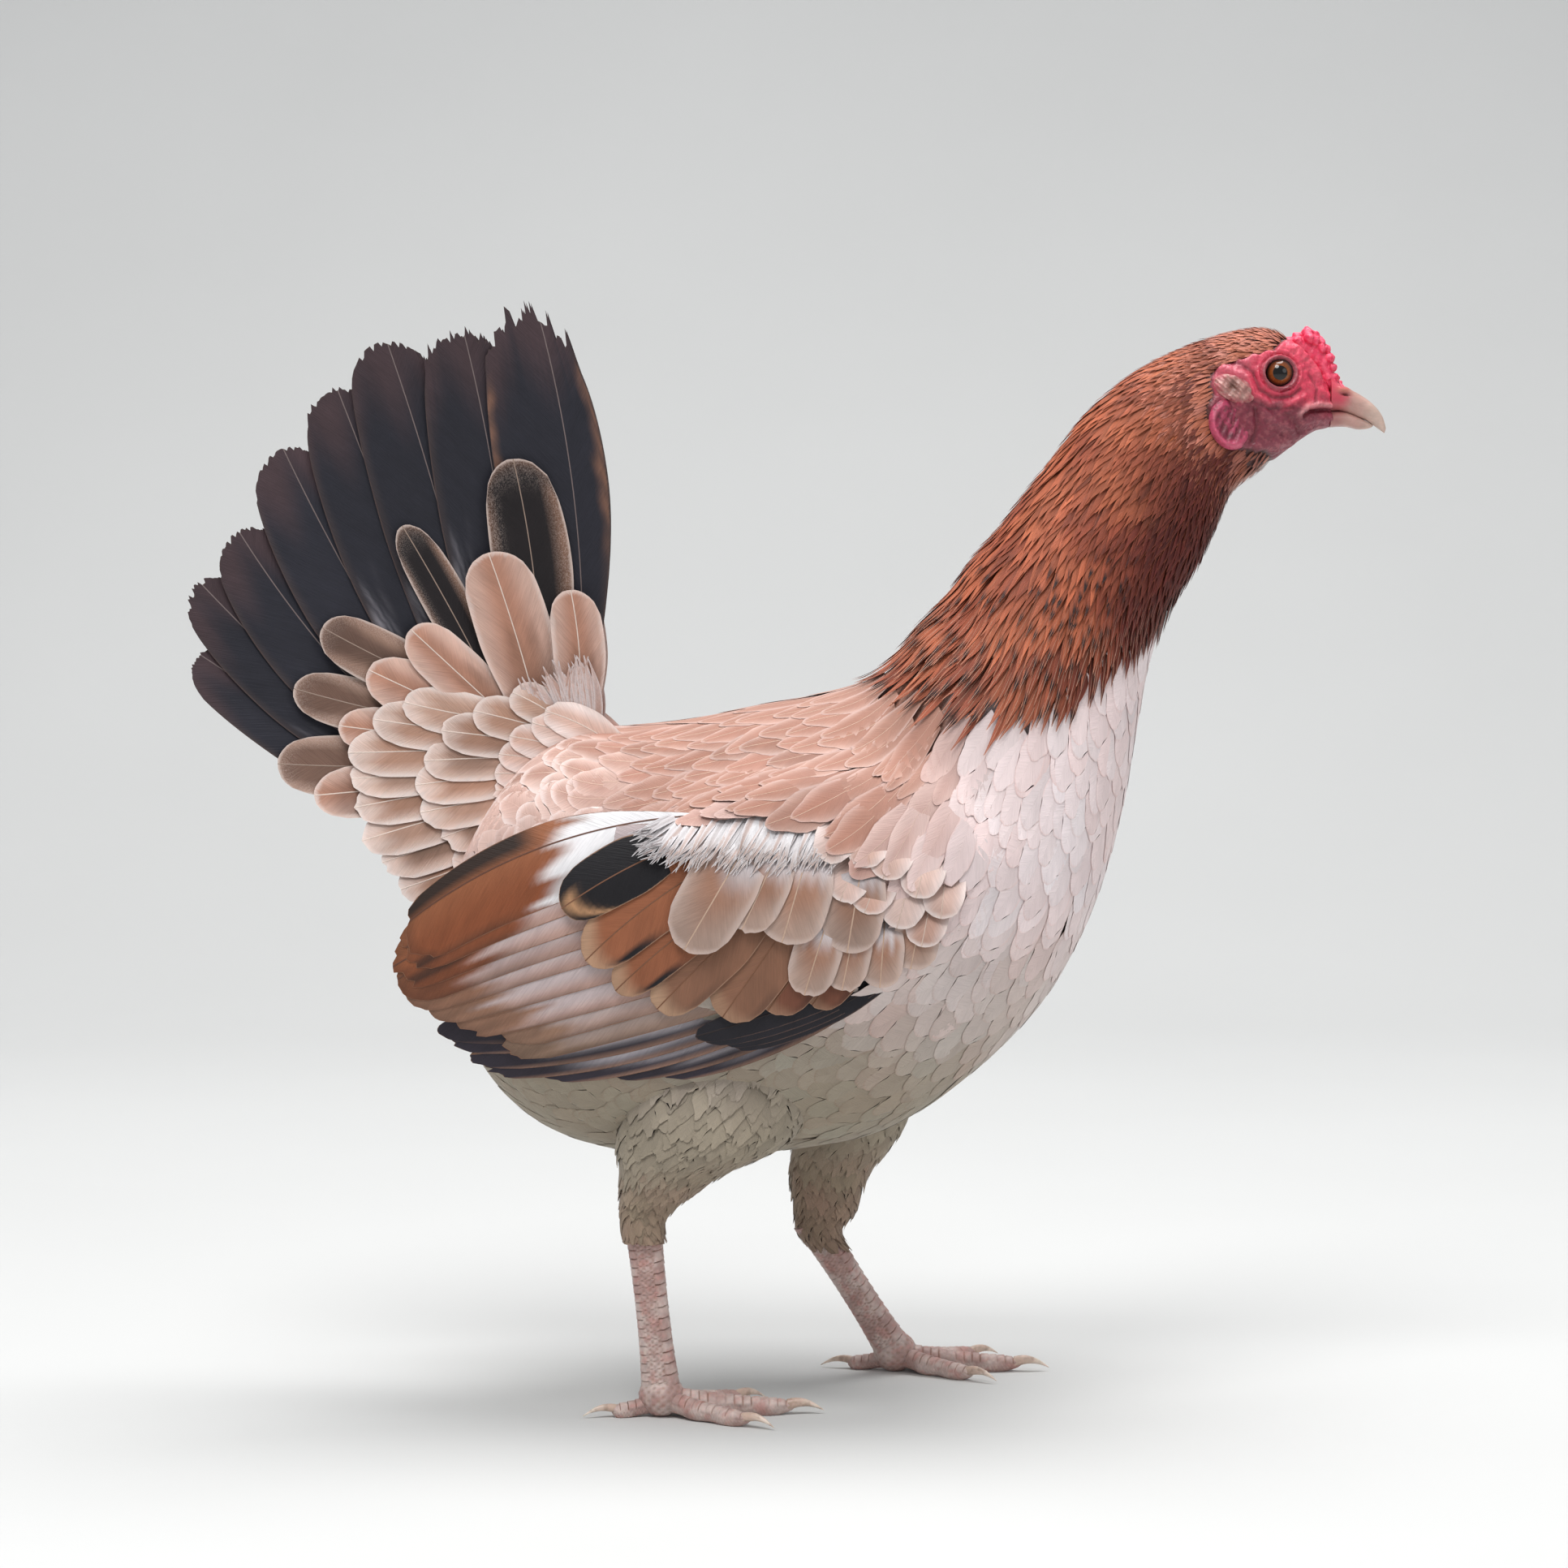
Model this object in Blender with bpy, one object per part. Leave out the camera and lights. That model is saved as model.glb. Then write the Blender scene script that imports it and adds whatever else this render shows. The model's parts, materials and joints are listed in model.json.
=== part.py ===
"""A roundhead gamefowl hen in mid step, life size, as a still model.

Metres, +Z up, the beak towards +X and the bird's right side towards -Y. The feet rest on Z = 0,
and the origin is under the middle of the bird's box. Sizes in the tables are in mm.
"""

import math
import random

import bmesh
import bpy
import numpy as np
from mathutils import Vector

MM = 0.001
GAP = 0.3 * MM
RIGHT, LEFT = -1, 1
SIDES = ((RIGHT, "right"), (LEFT, "left"))

# The trunk, neck and head are one tube. Each station gives the back line's x and z, the belly
# line's x and z, and the half width. It runs from the rump to the root of the beak.
STATIONS = (
    (-114, 229, -122, 211, 8),
    (-95, 248, -131, 191, 30),
    (-78, 257, -126, 163, 42),
    (-58, 258, -114, 126, 52),
    (-33, 261, -86, 102, 58),
    (-9, 266, -43, 93, 61),
    (13, 270, -2, 95, 62),
    (30, 275, 38, 103, 62),
    (42, 284, 72, 125, 61),
    (53, 297, 100, 154, 58),
    (63, 308, 118, 188, 53),
    (71, 320, 129, 225, 47),
    (81.5, 332, 135, 259, 40),
    (91, 345, 140, 284, 34),
    (102, 359, 148, 304, 29),
    (113, 374, 157, 318, 26),
    (126, 386.5, 164, 333, 23.5),
    (140, 396, 170, 346, 21.5),
    (157, 403.5, 180, 354, 19.5),
    (171, 408, 189, 361, 17.5),
    (183.5, 409, 197, 367, 15),
    (193, 405, 202, 370, 12),
    (200, 398, 206, 371, 9.3),
    (206, 389, 208.5, 372, 7),
)
TORSO_START, NECK_START, HEAD_START, HEAD_END = 2, 11, 17, len(STATIONS) - 1
SLUNG = 0.12  # how far below the middle the trunk is widest, as a share of the half height
SQUARE = 2.15  # exponent of the trunk's sections: 2 is an ellipse

EYE = (187, 9.4, 391.5)
EYE_RADIUS = 6.4
LID = (13.4, 5.7, 1.3)  # distance from the middle plane, radius and thickness
GAPE = (201, 8.4, 377)
GAPE_SIZE = (7, 3.4, 0.7)
NOSTRIL = (213, 5.4, 383.6)
NOSTRIL_SIZE = (1.9, 1.6, 0.9)
# Beak halves: culmen x and z, cutting edge x and z, half width.
BEAK_UPPER = (
    (208.8, 388.5, 208.8, 378.5, 6.4),
    (213, 386.8, 211.5, 378.2, 5.9),
    (218.5, 384.2, 216, 376.4, 4.7),
    (224, 380.4, 221.5, 374, 3.3),
    (227.6, 376, 225.8, 371.2, 1.9),
    (229.3, 371.4, 228.4, 368.8, 0.7),
)
BEAK_LOWER = (
    (208.8, 378, 208.8, 371.8, 5.6),
    (213.5, 377.6, 213.5, 371.6, 4.6),
    (218.5, 375.4, 218.5, 370.6, 3.3),
    (222.4, 373.2, 222.4, 370.2, 1.6),
)
# The comb's ridge from back to front: x, z and the height of the peas there.
COMB_RIDGE = ((190, 405.5, 1.6), (197, 404.5, 3.2), (203, 400, 3.0), (207, 391, 2.0))
COMB_ROWS = ((0, 4, 2.8), (3.7, 3, 2.3), (-3.7, 3, 2.3))  # offset sideways, count and pea radius
LOBE, LOBE_SIZE = (167.5, 18.6, 385.5), (6.8, 2.8, 5.2)
WATTLE, WATTLE_SIZE = (168, 18.6, 372.5), (6, 3, 8.5)

# Thighs: centre x, y and z, half length fore and aft, half width, from the body down.
THIGHS = {
    RIGHT: (
        (-18, 30, 142, 38, 22),
        (-29, 37, 106, 34, 22),
        (-42, 39, 91, 20, 15.5),
        (-50, 39, 80, 12, 10),
        (-53, 39, 73, 8.5, 7.6),
    ),
    LEFT: (
        (30, 28, 132, 30, 20),
        (25, 33, 98, 22, 17),
        (18, 35, 80, 16, 13),
        (16, 36, 65, 12.5, 10.5),
        (14, 36, 57, 9, 8),
    ),
}
# Shanks: hock, then the ball of the foot.
SHANKS = {RIGHT: ((-53, 39, 72.5), (-46, 41, 7.6)), LEFT: ((14, 36, 56.5), (44, 46, 7.6))}
SHANK_DEPTH, SHANK_WIDTH, SHANK_SCUTES = 5.6, 5.0, 9
SCUTE_STEP = 0.5
BALL_RADIUS = 8.4
# Toes: name, heading in degrees from +X towards the bird's outside, length, radius and scutes.
TOES = (
    ("middle", -2, 50, 4.5, 6),
    ("inner", -36, 37, 4.2, 4),
    ("outer", 34, 40, 4.1, 4),
    ("hind", 168, 19, 3.6, 2),
)
CLAW_LENGTH = 11

# The wing follows a shield that bulges from the body. Its pad is a lens on the shield.
SHIELD_MIDDLE, SHIELD_PEAK = (22, 192), 74
PAD_MIDDLE, PAD_HALVES, PAD_TILT = (8, 198), (70, 42), 16
PAD_HALF_THICKNESS, PAD_RISE = 8, 3.5
# Feather tiers: key feathers as root x and z, tip x and z, half width and sideways bow, then
# the count, the blade's profile, how many points across, and each layer's height over the field.
WING_TIERS = (
    (
        "secondary",
        (
            (-22, 222, -146, 174, 14, -8),
            (10, 202, -144, 160, 14, -5),
            (34, 184, -106, 143, 13, -1),
        ),
        (6, "blade", 2),
        (0, -0.8, -1.6, -2.4, -3.2, -4),
    ),
    (
        "primary",
        (
            (8, 182, -131, 146, 9, 5),
            (26, 178, -106, 128, 8, 8),
            (42, 178, -44, 131, 7, 7),
        ),
        (5, "blade", 2),
        (-4.8, -5.6, -6.4, -7.2, -8),
    ),
    (
        "greater_covert",
        (
            (-22, 216, -82, 193, 12, -3),
            (0, 202, -62, 165, 11, -2),
            (32, 184, -12, 153, 10, 0),
        ),
        (5, "round", 2),
        (0.9, 1.8),
    ),
    (
        "median_covert",
        (
            (-6, 214, -40, 181, 12, 0),
            (20, 204, -3, 179, 12, 0),
            (48, 192, 28, 165, 11, 0),
        ),
        (5, "round", 3),
        (2.7, 3.6),
    ),
    (
        "lesser_covert",
        (
            (16, 222, -6, 203, 11, 0),
            (38, 216, 20, 193, 11, 0),
            (60, 204, 46, 180, 10, 0),
        ),
        (4, "round", 3),
        (4.5, 5.4),
    ),
)

# The tail lies on two leaves, close at the ridge and wide below, round a core.
TAIL_ROOT, LEAF_TOP, LEAF_NEAR, LEAF_SPREAD = (-97, 238), 92, 6, 0.34
TAIL_CORE, TAIL_CORE_SIZE = (-110, 0, 231), (46, 24, 45)
TAIL_TIERS = (
    (
        "rectrix",
        (
            (-88, 250, -104, 425, 22, -7),
            (-104, 250, -148, 404, 22, 0),
            (-120, 243, -185, 362, 22, 8),
            (-128, 229, -216, 317, 19, 4),
            (-128, 216, -220, 282, 16, 0),
        ),
        (8, "blade", 2),
        (0, -1.3, -2.6, -3.9, -5.2, -6.5, -7.8, -9.1),
    ),
    (
        "first_covert",
        (
            (-92, 262, -104, 362, 15, -4),
            (-110, 262, -145, 333, 12, 0),
            (-122, 256, -173, 297, 11, 3),
            (-128, 238, -188, 258, 11, 2),
            (-126, 222, -172, 213, 11, 0),
        ),
        (6, "round", 2),
        (1.2, 2.1),
    ),
    (
        "second_covert",
        (
            (-82, 256, -84, 309, 14, 0),
            (-98, 256, -126, 314, 13, 0),
            (-112, 246, -160, 277, 12, 0),
            (-114, 228, -172, 230, 11, 0),
            (-106, 212, -150, 196, 11, 0),
        ),
        (6, "round", 2),
        (3.2, 4.1),
    ),
    (
        "third_covert",
        (
            (-84, 254, -100, 290, 11, 0),
            (-96, 246, -135, 262, 11, 0),
            (-98, 230, -148, 234, 11, 0),
            (-94, 214, -128, 202, 11, 0),
        ),
        (5, "round", 2),
        (5.4, 6.3),
    ),
)

# The hackle: lance-shaped vanes on the neck whose tips lie over the shoulders. Its lower edge
# is a place on the tube, in stations, at the back and at the front of the neck.
HACKLE_COUNT, HACKLE_HALF_WIDTH, HACKLE_LIFTS = 22, 8, (1.6, 2.4)
HACKLE_TIP_BACK, HACKLE_TIP_FRONT, HACKLE_REACH = 7.2, 13.4, 2.6
HACKLE_ROOT_BACK, HACKLE_SUNK = 13, 2

VANE_THICKNESS = 0.5
# Blade profiles: place along the feather, share of the half width.
PROFILES = {
    "blade": ((0, 0.3), (0.25, 0.75), (0.55, 1), (0.8, 0.95), (0.93, 0.7), (1, 0.25)),
    "round": ((0, 0.4), (0.35, 0.85), (0.68, 1), (0.9, 0.72), (1, 0.28)),
    "lance": ((0, 0.5), (0.3, 1), (0.7, 0.8), (1, 0.12)),
}

FINISHES = {
    "plumage": ((0.78, 0.55, 0.43), 0.8),
    "dark_plumage": ((0.05, 0.045, 0.05), 0.7),
    "red_plumage": ((0.40, 0.13, 0.05), 0.75),
    "bare_skin": ((0.70, 0.13, 0.15), 0.5),
    "lobe": ((0.80, 0.62, 0.52), 0.6),
    "scale": ((0.82, 0.62, 0.52), 0.5),
    "horn": ((0.80, 0.65, 0.55), 0.35),
    "iris": ((0.55, 0.20, 0.04), 0.1),
}


def finish(name):
    """The named material, made once."""
    found = bpy.data.materials.get(name)
    if found:
        return found
    colour, rough = FINISHES[name]
    made = bpy.data.materials.new(name)
    made.use_nodes = True
    shader = made.node_tree.nodes["Principled BSDF"]
    shader.inputs["Base Color"].default_value = (*colour, 1)
    shader.inputs["Roughness"].default_value = rough
    shader.inputs["Metallic"].default_value = 0
    return made


def collection(name):
    """A new collection in the scene."""
    made = bpy.data.collections.new(name)
    bpy.context.scene.collection.children.link(made)
    return made


def solid(name, bm, material, into):
    """Turns a closed bmesh in mm into an object of that name, faces outwards."""
    bmesh.ops.recalc_face_normals(bm, faces=bm.faces)
    if bm.calc_volume(signed=True) < 0:
        bmesh.ops.reverse_faces(bm, faces=bm.faces)
    bmesh.ops.scale(bm, vec=(MM, MM, MM), verts=bm.verts)
    mesh = bpy.data.meshes.new(name)
    bm.to_mesh(mesh)
    bm.free()
    mesh.materials.append(finish(material))
    mesh.shade_smooth()
    mesh.set_sharp_from_angle(angle=math.radians(50))
    made = bpy.data.objects.new(name, mesh)
    into.objects.link(made)
    return made


def loft(name, rings, material, into):
    """A closed tube through rings of equal count, with a flat cap at each end."""
    bm = bmesh.new()
    rows = [[bm.verts.new(p) for p in ring] for ring in rings]
    count = len(rows[0])
    for low, high in zip(rows, rows[1:]):
        for j in range(count):
            k = (j + 1) % count
            bm.faces.new((low[j], low[k], high[k], high[j]))
    bm.faces.new(rows[0])
    bm.faces.new(rows[-1])
    return solid(name, bm, material, into)


def along(rows, t):
    """Catmull-Rom through the rows of a table, at t counted in rows."""
    table = np.asarray(rows, float)
    i = int(min(max(math.floor(t), 0), len(table) - 2))
    u = t - i
    p0, p1, p2, p3 = (table[min(max(i + k, 0), len(table) - 1)] for k in (-1, 0, 1, 2))
    return 0.5 * (
        2 * p1
        + (p2 - p0) * u
        + (2 * p0 - 5 * p1 + 4 * p2 - p3) * u**2
        + (3 * p1 - p0 - 3 * p2 + p3) * u**3
    )


def tube_point(rows, t, angle, slung=0.0, square=2.0, shift=0.0):
    """A point on a tube given by its upper line, lower line and half width."""
    ux, uz, lx, lz, half = along(rows, t)
    up = Vector((ux - lx, 0, uz - lz)) / 2
    forward = Vector((up.z, 0, -up.x)).normalized()
    c, s = math.cos(angle), math.sin(angle)
    c = math.copysign(abs(c) ** (2 / square), c)
    s = math.copysign(abs(s) ** (2 / square), s)
    middle = Vector((ux + lx, 0, uz + lz)) / 2 + forward * shift
    return middle + up * (c - slung * s * s) + Vector((0, half * s, 0))


def skin_point(t, angle, lift=0.0):
    """A point on the trunk and neck, or a height over it."""
    here = tube_point(STATIONS, t, angle, SLUNG, SQUARE)
    if not lift:
        return here
    ahead = tube_point(STATIONS, t + 0.02, angle, SLUNG, SQUARE) - here
    round_it = tube_point(STATIONS, t, angle + 0.02, SLUNG, SQUARE) - here
    return here + ahead.cross(round_it).normalized() * lift


def section(rows, t, count, slung=0.0, square=2.0, shift=0.0):
    """One ring of such a tube."""
    turn = 2 * math.pi / count
    return [tube_point(rows, t, turn * j, slung, square, shift) for j in range(count)]


def body_piece(name, start, end, rings, count, material, into):
    """A length of the body tube. Its first ring stands off the plane that it shares by the gap."""
    made = []
    for i in range(rings):
        shift = GAP / MM if i == 0 else 0
        t = start + (end - start) * i / (rings - 1)
        made.append(section(STATIONS, t, count, SLUNG, SQUARE, shift))
    return loft(name, made, material, into)


def ball(name, centre, radii, material, into, segments=20):
    """An ellipsoid."""
    bm = bmesh.new()
    bmesh.ops.create_uvsphere(bm, u_segments=segments, v_segments=segments // 2, radius=1)
    for vert in bm.verts:
        vert.co = Vector(centre) + Vector(r * v for r, v in zip(radii, vert.co))
    return solid(name, bm, material, into)


def apply_boolean(target, operation, operand, solver):
    """Joins or cuts target by an object or a collection, and applies it."""
    modifier = target.modifiers.new(operation, "BOOLEAN")
    modifier.operation = operation
    modifier.solver = solver
    if isinstance(operand, bpy.types.Collection):
        modifier.operand_type = "COLLECTION"
        modifier.collection = operand
    else:
        modifier.object = operand
    graph = bpy.context.evaluated_depsgraph_get()
    made = bpy.data.meshes.new_from_object(target.evaluated_get(graph))
    target.modifiers.clear()
    target.data = made


def fuse(core, pieces, solver="EXACT"):
    """Unites a collection of closed pieces with their core, and removes the pieces."""
    apply_boolean(core, "UNION", pieces, solver)
    for piece in list(pieces.objects):
        bpy.data.objects.remove(piece)
    bpy.data.collections.remove(pieces)
    keep_largest(core)


def shells_of(bm):
    """The closed surfaces of a bmesh, as sets of vertices, the smallest first."""
    left, shells = set(bm.verts), []
    while left:
        shell, todo = set(), [left.pop()]
        while todo:
            vert = todo.pop()
            shell.add(vert)
            near = {edge.other_vert(vert) for edge in vert.link_edges} & left
            left -= near
            todo.extend(near)
        shells.append(shell)

    def size(shell):
        low = Vector(min(v.co[k] for v in shell) for k in range(3))
        high = Vector(max(v.co[k] for v in shell) for k in range(3))
        return (high - low).length

    return sorted(shells, key=size)


def keep_largest(target):
    """Keeps only the largest closed surface of a mesh."""
    bm = bmesh.new()
    bm.from_mesh(target.data)
    for shell in shells_of(bm)[:-1]:
        bmesh.ops.delete(bm, geom=list(shell), context="VERTS")
    bm.to_mesh(target.data)
    bm.free()


def cut_clear(target, *others, solver="EXACT"):
    """Cuts target back from each other node, leaving the gap between their faces."""
    for other in others:
        mesh = other.data.copy()
        normals = np.empty(len(mesh.vertices) * 3, np.float32)
        points = np.empty(len(mesh.vertices) * 3, np.float32)
        mesh.vertices.foreach_get("normal", normals)
        mesh.vertices.foreach_get("co", points)
        mesh.vertices.foreach_set("co", points + normals * GAP * 1.25)
        cutter = bpy.data.objects.new("cutter", mesh)
        bpy.context.scene.collection.objects.link(cutter)
        apply_boolean(target, "DIFFERENCE", cutter, solver)
        bpy.data.objects.remove(cutter)
    keep_largest(target)


def carve(target, centre, size, segments=10):
    """Cuts an ellipsoid out of target on both sides of the middle plane."""
    x, y, z = centre
    for side in (RIGHT, LEFT):
        hole = ball("hole", (x, side * y, z), size, "bare_skin", bpy.context.scene.collection, segments)
        apply_boolean(target, "DIFFERENCE", hole, "EXACT")
        bpy.data.objects.remove(hole)
    keep_largest(target)


def shield(x, z):
    """Half distance between the two wings' flight feathers at a place in side view."""
    dx, dz = x - SHIELD_MIDDLE[0], z - SHIELD_MIDDLE[1]
    return SHIELD_PEAK - dx * dx / 1150 - dz * dz / (210 if dz > 0 else 420)


def pad_height(x, z):
    """The pad's outer face at a place in side view, as a height over the shield."""
    dx, dz = x - PAD_MIDDLE[0], z - PAD_MIDDLE[1]
    turn = math.radians(PAD_TILT)
    u = (dx * math.cos(turn) + dz * math.sin(turn)) / PAD_HALVES[0]
    v = (dz * math.cos(turn) - dx * math.sin(turn)) / PAD_HALVES[1]
    return PAD_RISE - PAD_HALF_THICKNESS * (1 - math.sqrt(max(1 - u * u - v * v, 0)))


def leaf(x, z):
    """Half distance between the tail's two leaves: close at the ridge, wide below."""
    dx, dz = x - TAIL_ROOT[0], z - TAIL_ROOT[1]
    angle = math.degrees(math.atan2(dz, dx)) % 360
    opened = min(max((angle - LEAF_TOP) / 100, 0), 1.1)
    return LEAF_NEAR + math.hypot(dx, dz) * (0.02 + LEAF_SPREAD * opened)


def make_pad(name, side, into):
    """The wing's fleshy pad: a lens bent onto the shield."""
    bm = bmesh.new()
    bmesh.ops.create_uvsphere(bm, u_segments=18, v_segments=10, radius=1)
    turn = math.radians(PAD_TILT)
    for vert in bm.verts:
        u, v, w = vert.co.x * PAD_HALVES[0], vert.co.z * PAD_HALVES[1], vert.co.y
        x = PAD_MIDDLE[0] + u * math.cos(turn) - v * math.sin(turn)
        z = PAD_MIDDLE[1] + u * math.sin(turn) + v * math.cos(turn)
        out = shield(x, z) + PAD_RISE - PAD_HALF_THICKNESS * (1 - w)
        vert.co = Vector((x, side * out, z))
    return solid(name, bm, "plumage", into)


def vane(name, place, profile, across, material, into):
    """One feather's blade, closed. place(share, aside, depth) gives a point in mm."""
    bm = bmesh.new()
    outer, inner = [], []
    for share, width in PROFILES[profile]:
        asides = [width * (2 * j / (across - 1) - 1) for j in range(across)]
        outer.append([bm.verts.new(place(share, a, 0)) for a in asides])
        inner.append([bm.verts.new(place(share, a, VANE_THICKNESS)) for a in asides])
    for face in (outer, inner):
        for a, b in zip(face, face[1:]):
            for j in range(across - 1):
                bm.faces.new((a[j], b[j], b[j + 1]))
                bm.faces.new((a[j], b[j + 1], a[j + 1]))
    for i in range(len(outer) - 1):
        for j in (0, across - 1):
            bm.faces.new((outer[i][j], outer[i + 1][j], inner[i + 1][j], inner[i][j]))
    for i in (0, len(outer) - 1):
        for j in range(across - 1):
            bm.faces.new((outer[i][j], outer[i][j + 1], inner[i][j + 1], inner[i][j]))
    return solid(name, bm, material, into)


def flat_place(feather, side, field, layer, root_height):
    """Places a feather on a field in side view: it leaves its root's height for its layer."""
    root_x, root_z, tip_x, tip_z, half_width, bow = feather
    run = Vector((tip_x - root_x, 0, tip_z - root_z))
    way = run.normalized()
    aside_way = Vector((-way.z, 0, way.x)) * (-1 if way.x < 0 else 1)

    def place(share, aside, depth):
        bend = bow * 4 * share * (1 - share)
        point = Vector((root_x, 0, root_z)) + run * share
        point += aside_way * (aside * half_width - bend)
        rise = min(share / 0.3, 1)
        height = root_height + (layer - root_height) * rise * rise * (3 - 2 * rise)
        point.y = side * (field(point.x, point.z) + height - depth)
        return point

    return place


def make_tiers(tiers, side, field, root_height, material, into):
    """All the feathers of a wing or of half the tail, tier by tier."""
    for name, keys, (count, profile, across), layers in tiers:
        draw = random.Random(name)
        for i in range(count):
            feather = along(keys, (len(keys) - 1) * i / (count - 1))
            feather[2] += draw.uniform(-1.5, 1.5)
            feather[3] += draw.uniform(-1.5, 1.5)
            feather[4] *= draw.uniform(0.95, 1.05)
            layer = layers[i % len(layers)]
            start = root_height(feather[0], feather[1], layer)
            place = flat_place(feather, side, field, layer, start)
            vane(f"{name}_{i}", place, profile, across, material, into)


def wing_root_height(x, z, layer):
    """A wing feather starts under the pad's face, or inside the pad if it is a lower one."""
    return min(pad_height(x, z) - 1.2, layer) if layer > -4.5 else -3 + 0.1 * layer


def tail_root_height(x, z, layer):
    """A tail feather starts in its own layer, well inside the tail's core."""
    return layer


def make_wing(side, end, torso, into):
    """A wing: its pad with the flight feathers and three tiers of coverts."""
    wing = make_pad(f"wing_{end}", side, into)
    feathers = collection("wing_feathers")
    make_tiers(WING_TIERS, side, shield, wing_root_height, "plumage", feathers)
    fuse(wing, feathers, "MANIFOLD")
    cut_clear(wing, torso, bpy.data.objects[f"thigh_{end}"], solver="MANIFOLD")
    return wing


def make_tail(torso, wings, into):
    """The tail: the rump's point and a core, with both leaves of feathers."""
    tail = body_piece("tail", 0, TORSO_START, 6, 24, "dark_plumage", into)
    feathers = collection("tail_feathers")
    ball("core", TAIL_CORE, TAIL_CORE_SIZE, "dark_plumage", feathers, 14)
    for side in (RIGHT, LEFT):
        make_tiers(TAIL_TIERS, side, leaf, tail_root_height, "dark_plumage", feathers)
    fuse(tail, feathers, "MANIFOLD")
    cut_clear(tail, torso, *wings, solver="MANIFOLD")


def hackle_place(angle, lie):
    """Places a hackle vane on the neck, from under its skin to its lie over the shoulders."""
    back = 0.5 + 0.5 * math.cos(angle)
    tip = HACKLE_TIP_FRONT + (HACKLE_TIP_BACK - HACKLE_TIP_FRONT) * back**1.2
    root = max(tip + HACKLE_REACH, HACKLE_ROOT_BACK)
    here = tube_point(STATIONS, tip + 1, angle, SLUNG, SQUARE)
    beside = tube_point(STATIONS, tip + 1, angle + 0.1, SLUNG, SQUARE)
    spread = HACKLE_HALF_WIDTH * 0.1 / (beside - here).length

    def place(share, aside, depth):
        rise = min(share / 0.3, 1)
        lift = (lie + VANE_THICKNESS + HACKLE_SUNK) * rise - HACKLE_SUNK - depth
        return skin_point(root + (tip - root) * share, angle + aside * spread, lift)

    return place


def make_neck(torso, into):
    """The neck with its hackle, cut clear of the shoulders."""
    neck = body_piece("neck", NECK_START, HEAD_START, 9, 24, "red_plumage", into)
    vanes = collection("hackle")
    for i in range(HACKLE_COUNT):
        angle = 2 * math.pi * (i + 0.5) / HACKLE_COUNT
        place = hackle_place(angle, HACKLE_LIFTS[i % 2])
        vane(f"hackle_{i}", place, "lance", 2, "red_plumage", vanes)
    fuse(neck, vanes, "MANIFOLD")
    cut_clear(neck, torso)
    return neck


def lid(name, side, into):
    """The eyelids as one ring, its axis straight out to the side, a little wider than high."""
    away, radius, thickness = LID
    around, tube = 16, 6
    bm = bmesh.new()
    grid = []
    for i in range(around):
        a = 2 * math.pi * i / around
        row = []
        for j in range(tube):
            b = 2 * math.pi * j / tube
            r = radius + thickness * math.cos(b)
            y = side * (away + thickness * math.sin(b))
            row.append(bm.verts.new((EYE[0] + r * math.cos(a), y, EYE[2] + 0.9 * r * math.sin(a))))
        grid.append(row)
    for i in range(around):
        for j in range(tube):
            a, b, k = grid[i], grid[(i + 1) % around], (j + 1) % tube
            bm.faces.new((a[j], b[j], b[k], a[k]))
    return solid(name, bm, "bare_skin", into)


def make_head(into):
    """Head with lids, sockets and the corners of the mouth, and both eyes."""
    head = body_piece("head", HEAD_START, HEAD_END, 10, 20, "bare_skin", into)
    lids = collection("lids")
    eyes = []
    for side, end in SIDES:
        centre = (EYE[0], side * EYE[1], EYE[2])
        eyes.append(ball(f"eye_{end}", centre, [EYE_RADIUS] * 3, "iris", into, 16))
        lid(f"lid_{end}", side, lids)
    fuse(head, lids)
    carve(head, GAPE, GAPE_SIZE)
    cut_clear(head, *eyes)
    return head


def make_beak(into):
    """Two horn halves that meet along the cutting edge, with the nostrils in the upper one."""
    halves = []
    for name, rows in (("beak_upper", BEAK_UPPER), ("beak_lower", BEAK_LOWER)):
        count = 2 * len(rows) - 1
        rings = [
            section(rows, (len(rows) - 1) * i / (count - 1), 12, square=2.3) for i in range(count)
        ]
        halves.append(loft(name, rings, "horn", into))
    upper, lower = halves
    carve(upper, NOSTRIL, NOSTRIL_SIZE, 8)
    cut_clear(lower, upper)


def make_comb(head, into):
    """The pea comb: three rows of low round bumps on a ridge, the middle row the highest."""
    x, z, _ = along(COMB_RIDGE, 1.4)
    comb = ball("comb", (x, 0, z - 1.5), (8.5, 4.2, 5.5), "bare_skin", into, 14)
    peas = collection("peas")
    for aside, count, radius in COMB_ROWS:
        for i in range(count):
            x, z, height = along(COMB_RIDGE, (len(COMB_RIDGE) - 1) * (i + 0.5) / count)
            bm = bmesh.new()
            bmesh.ops.create_uvsphere(bm, u_segments=8, v_segments=5, radius=radius)
            centre = Vector((x, aside, z + height * (1 - abs(aside) / 8)))
            bmesh.ops.translate(bm, vec=centre, verts=bm.verts)
            solid("pea", bm, "bare_skin", peas)
    fuse(comb, peas)
    cut_clear(comb, head, bpy.data.objects["beak_upper"])


def make_face(head, into):
    """Ear lobe and small wattle on each side."""
    for side, end in SIDES:
        x, y, z = LOBE
        lobe = ball(f"earlobe_{end}", (x, side * y, z), LOBE_SIZE, "lobe", into, 14)
        cut_clear(lobe, head)
        x, y, z = WATTLE
        wattle = ball(f"wattle_{end}", (x, side * y, z), WATTLE_SIZE, "bare_skin", into, 14)
        cut_clear(wattle, head, lobe)


def oval(centre, half_length, half_width, count):
    """A level oval ring."""
    turn = 2 * math.pi / count
    return [
        Vector(centre)
        + Vector((half_length * math.cos(turn * j), half_width * math.sin(turn * j), 0))
        for j in range(count)
    ]


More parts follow.
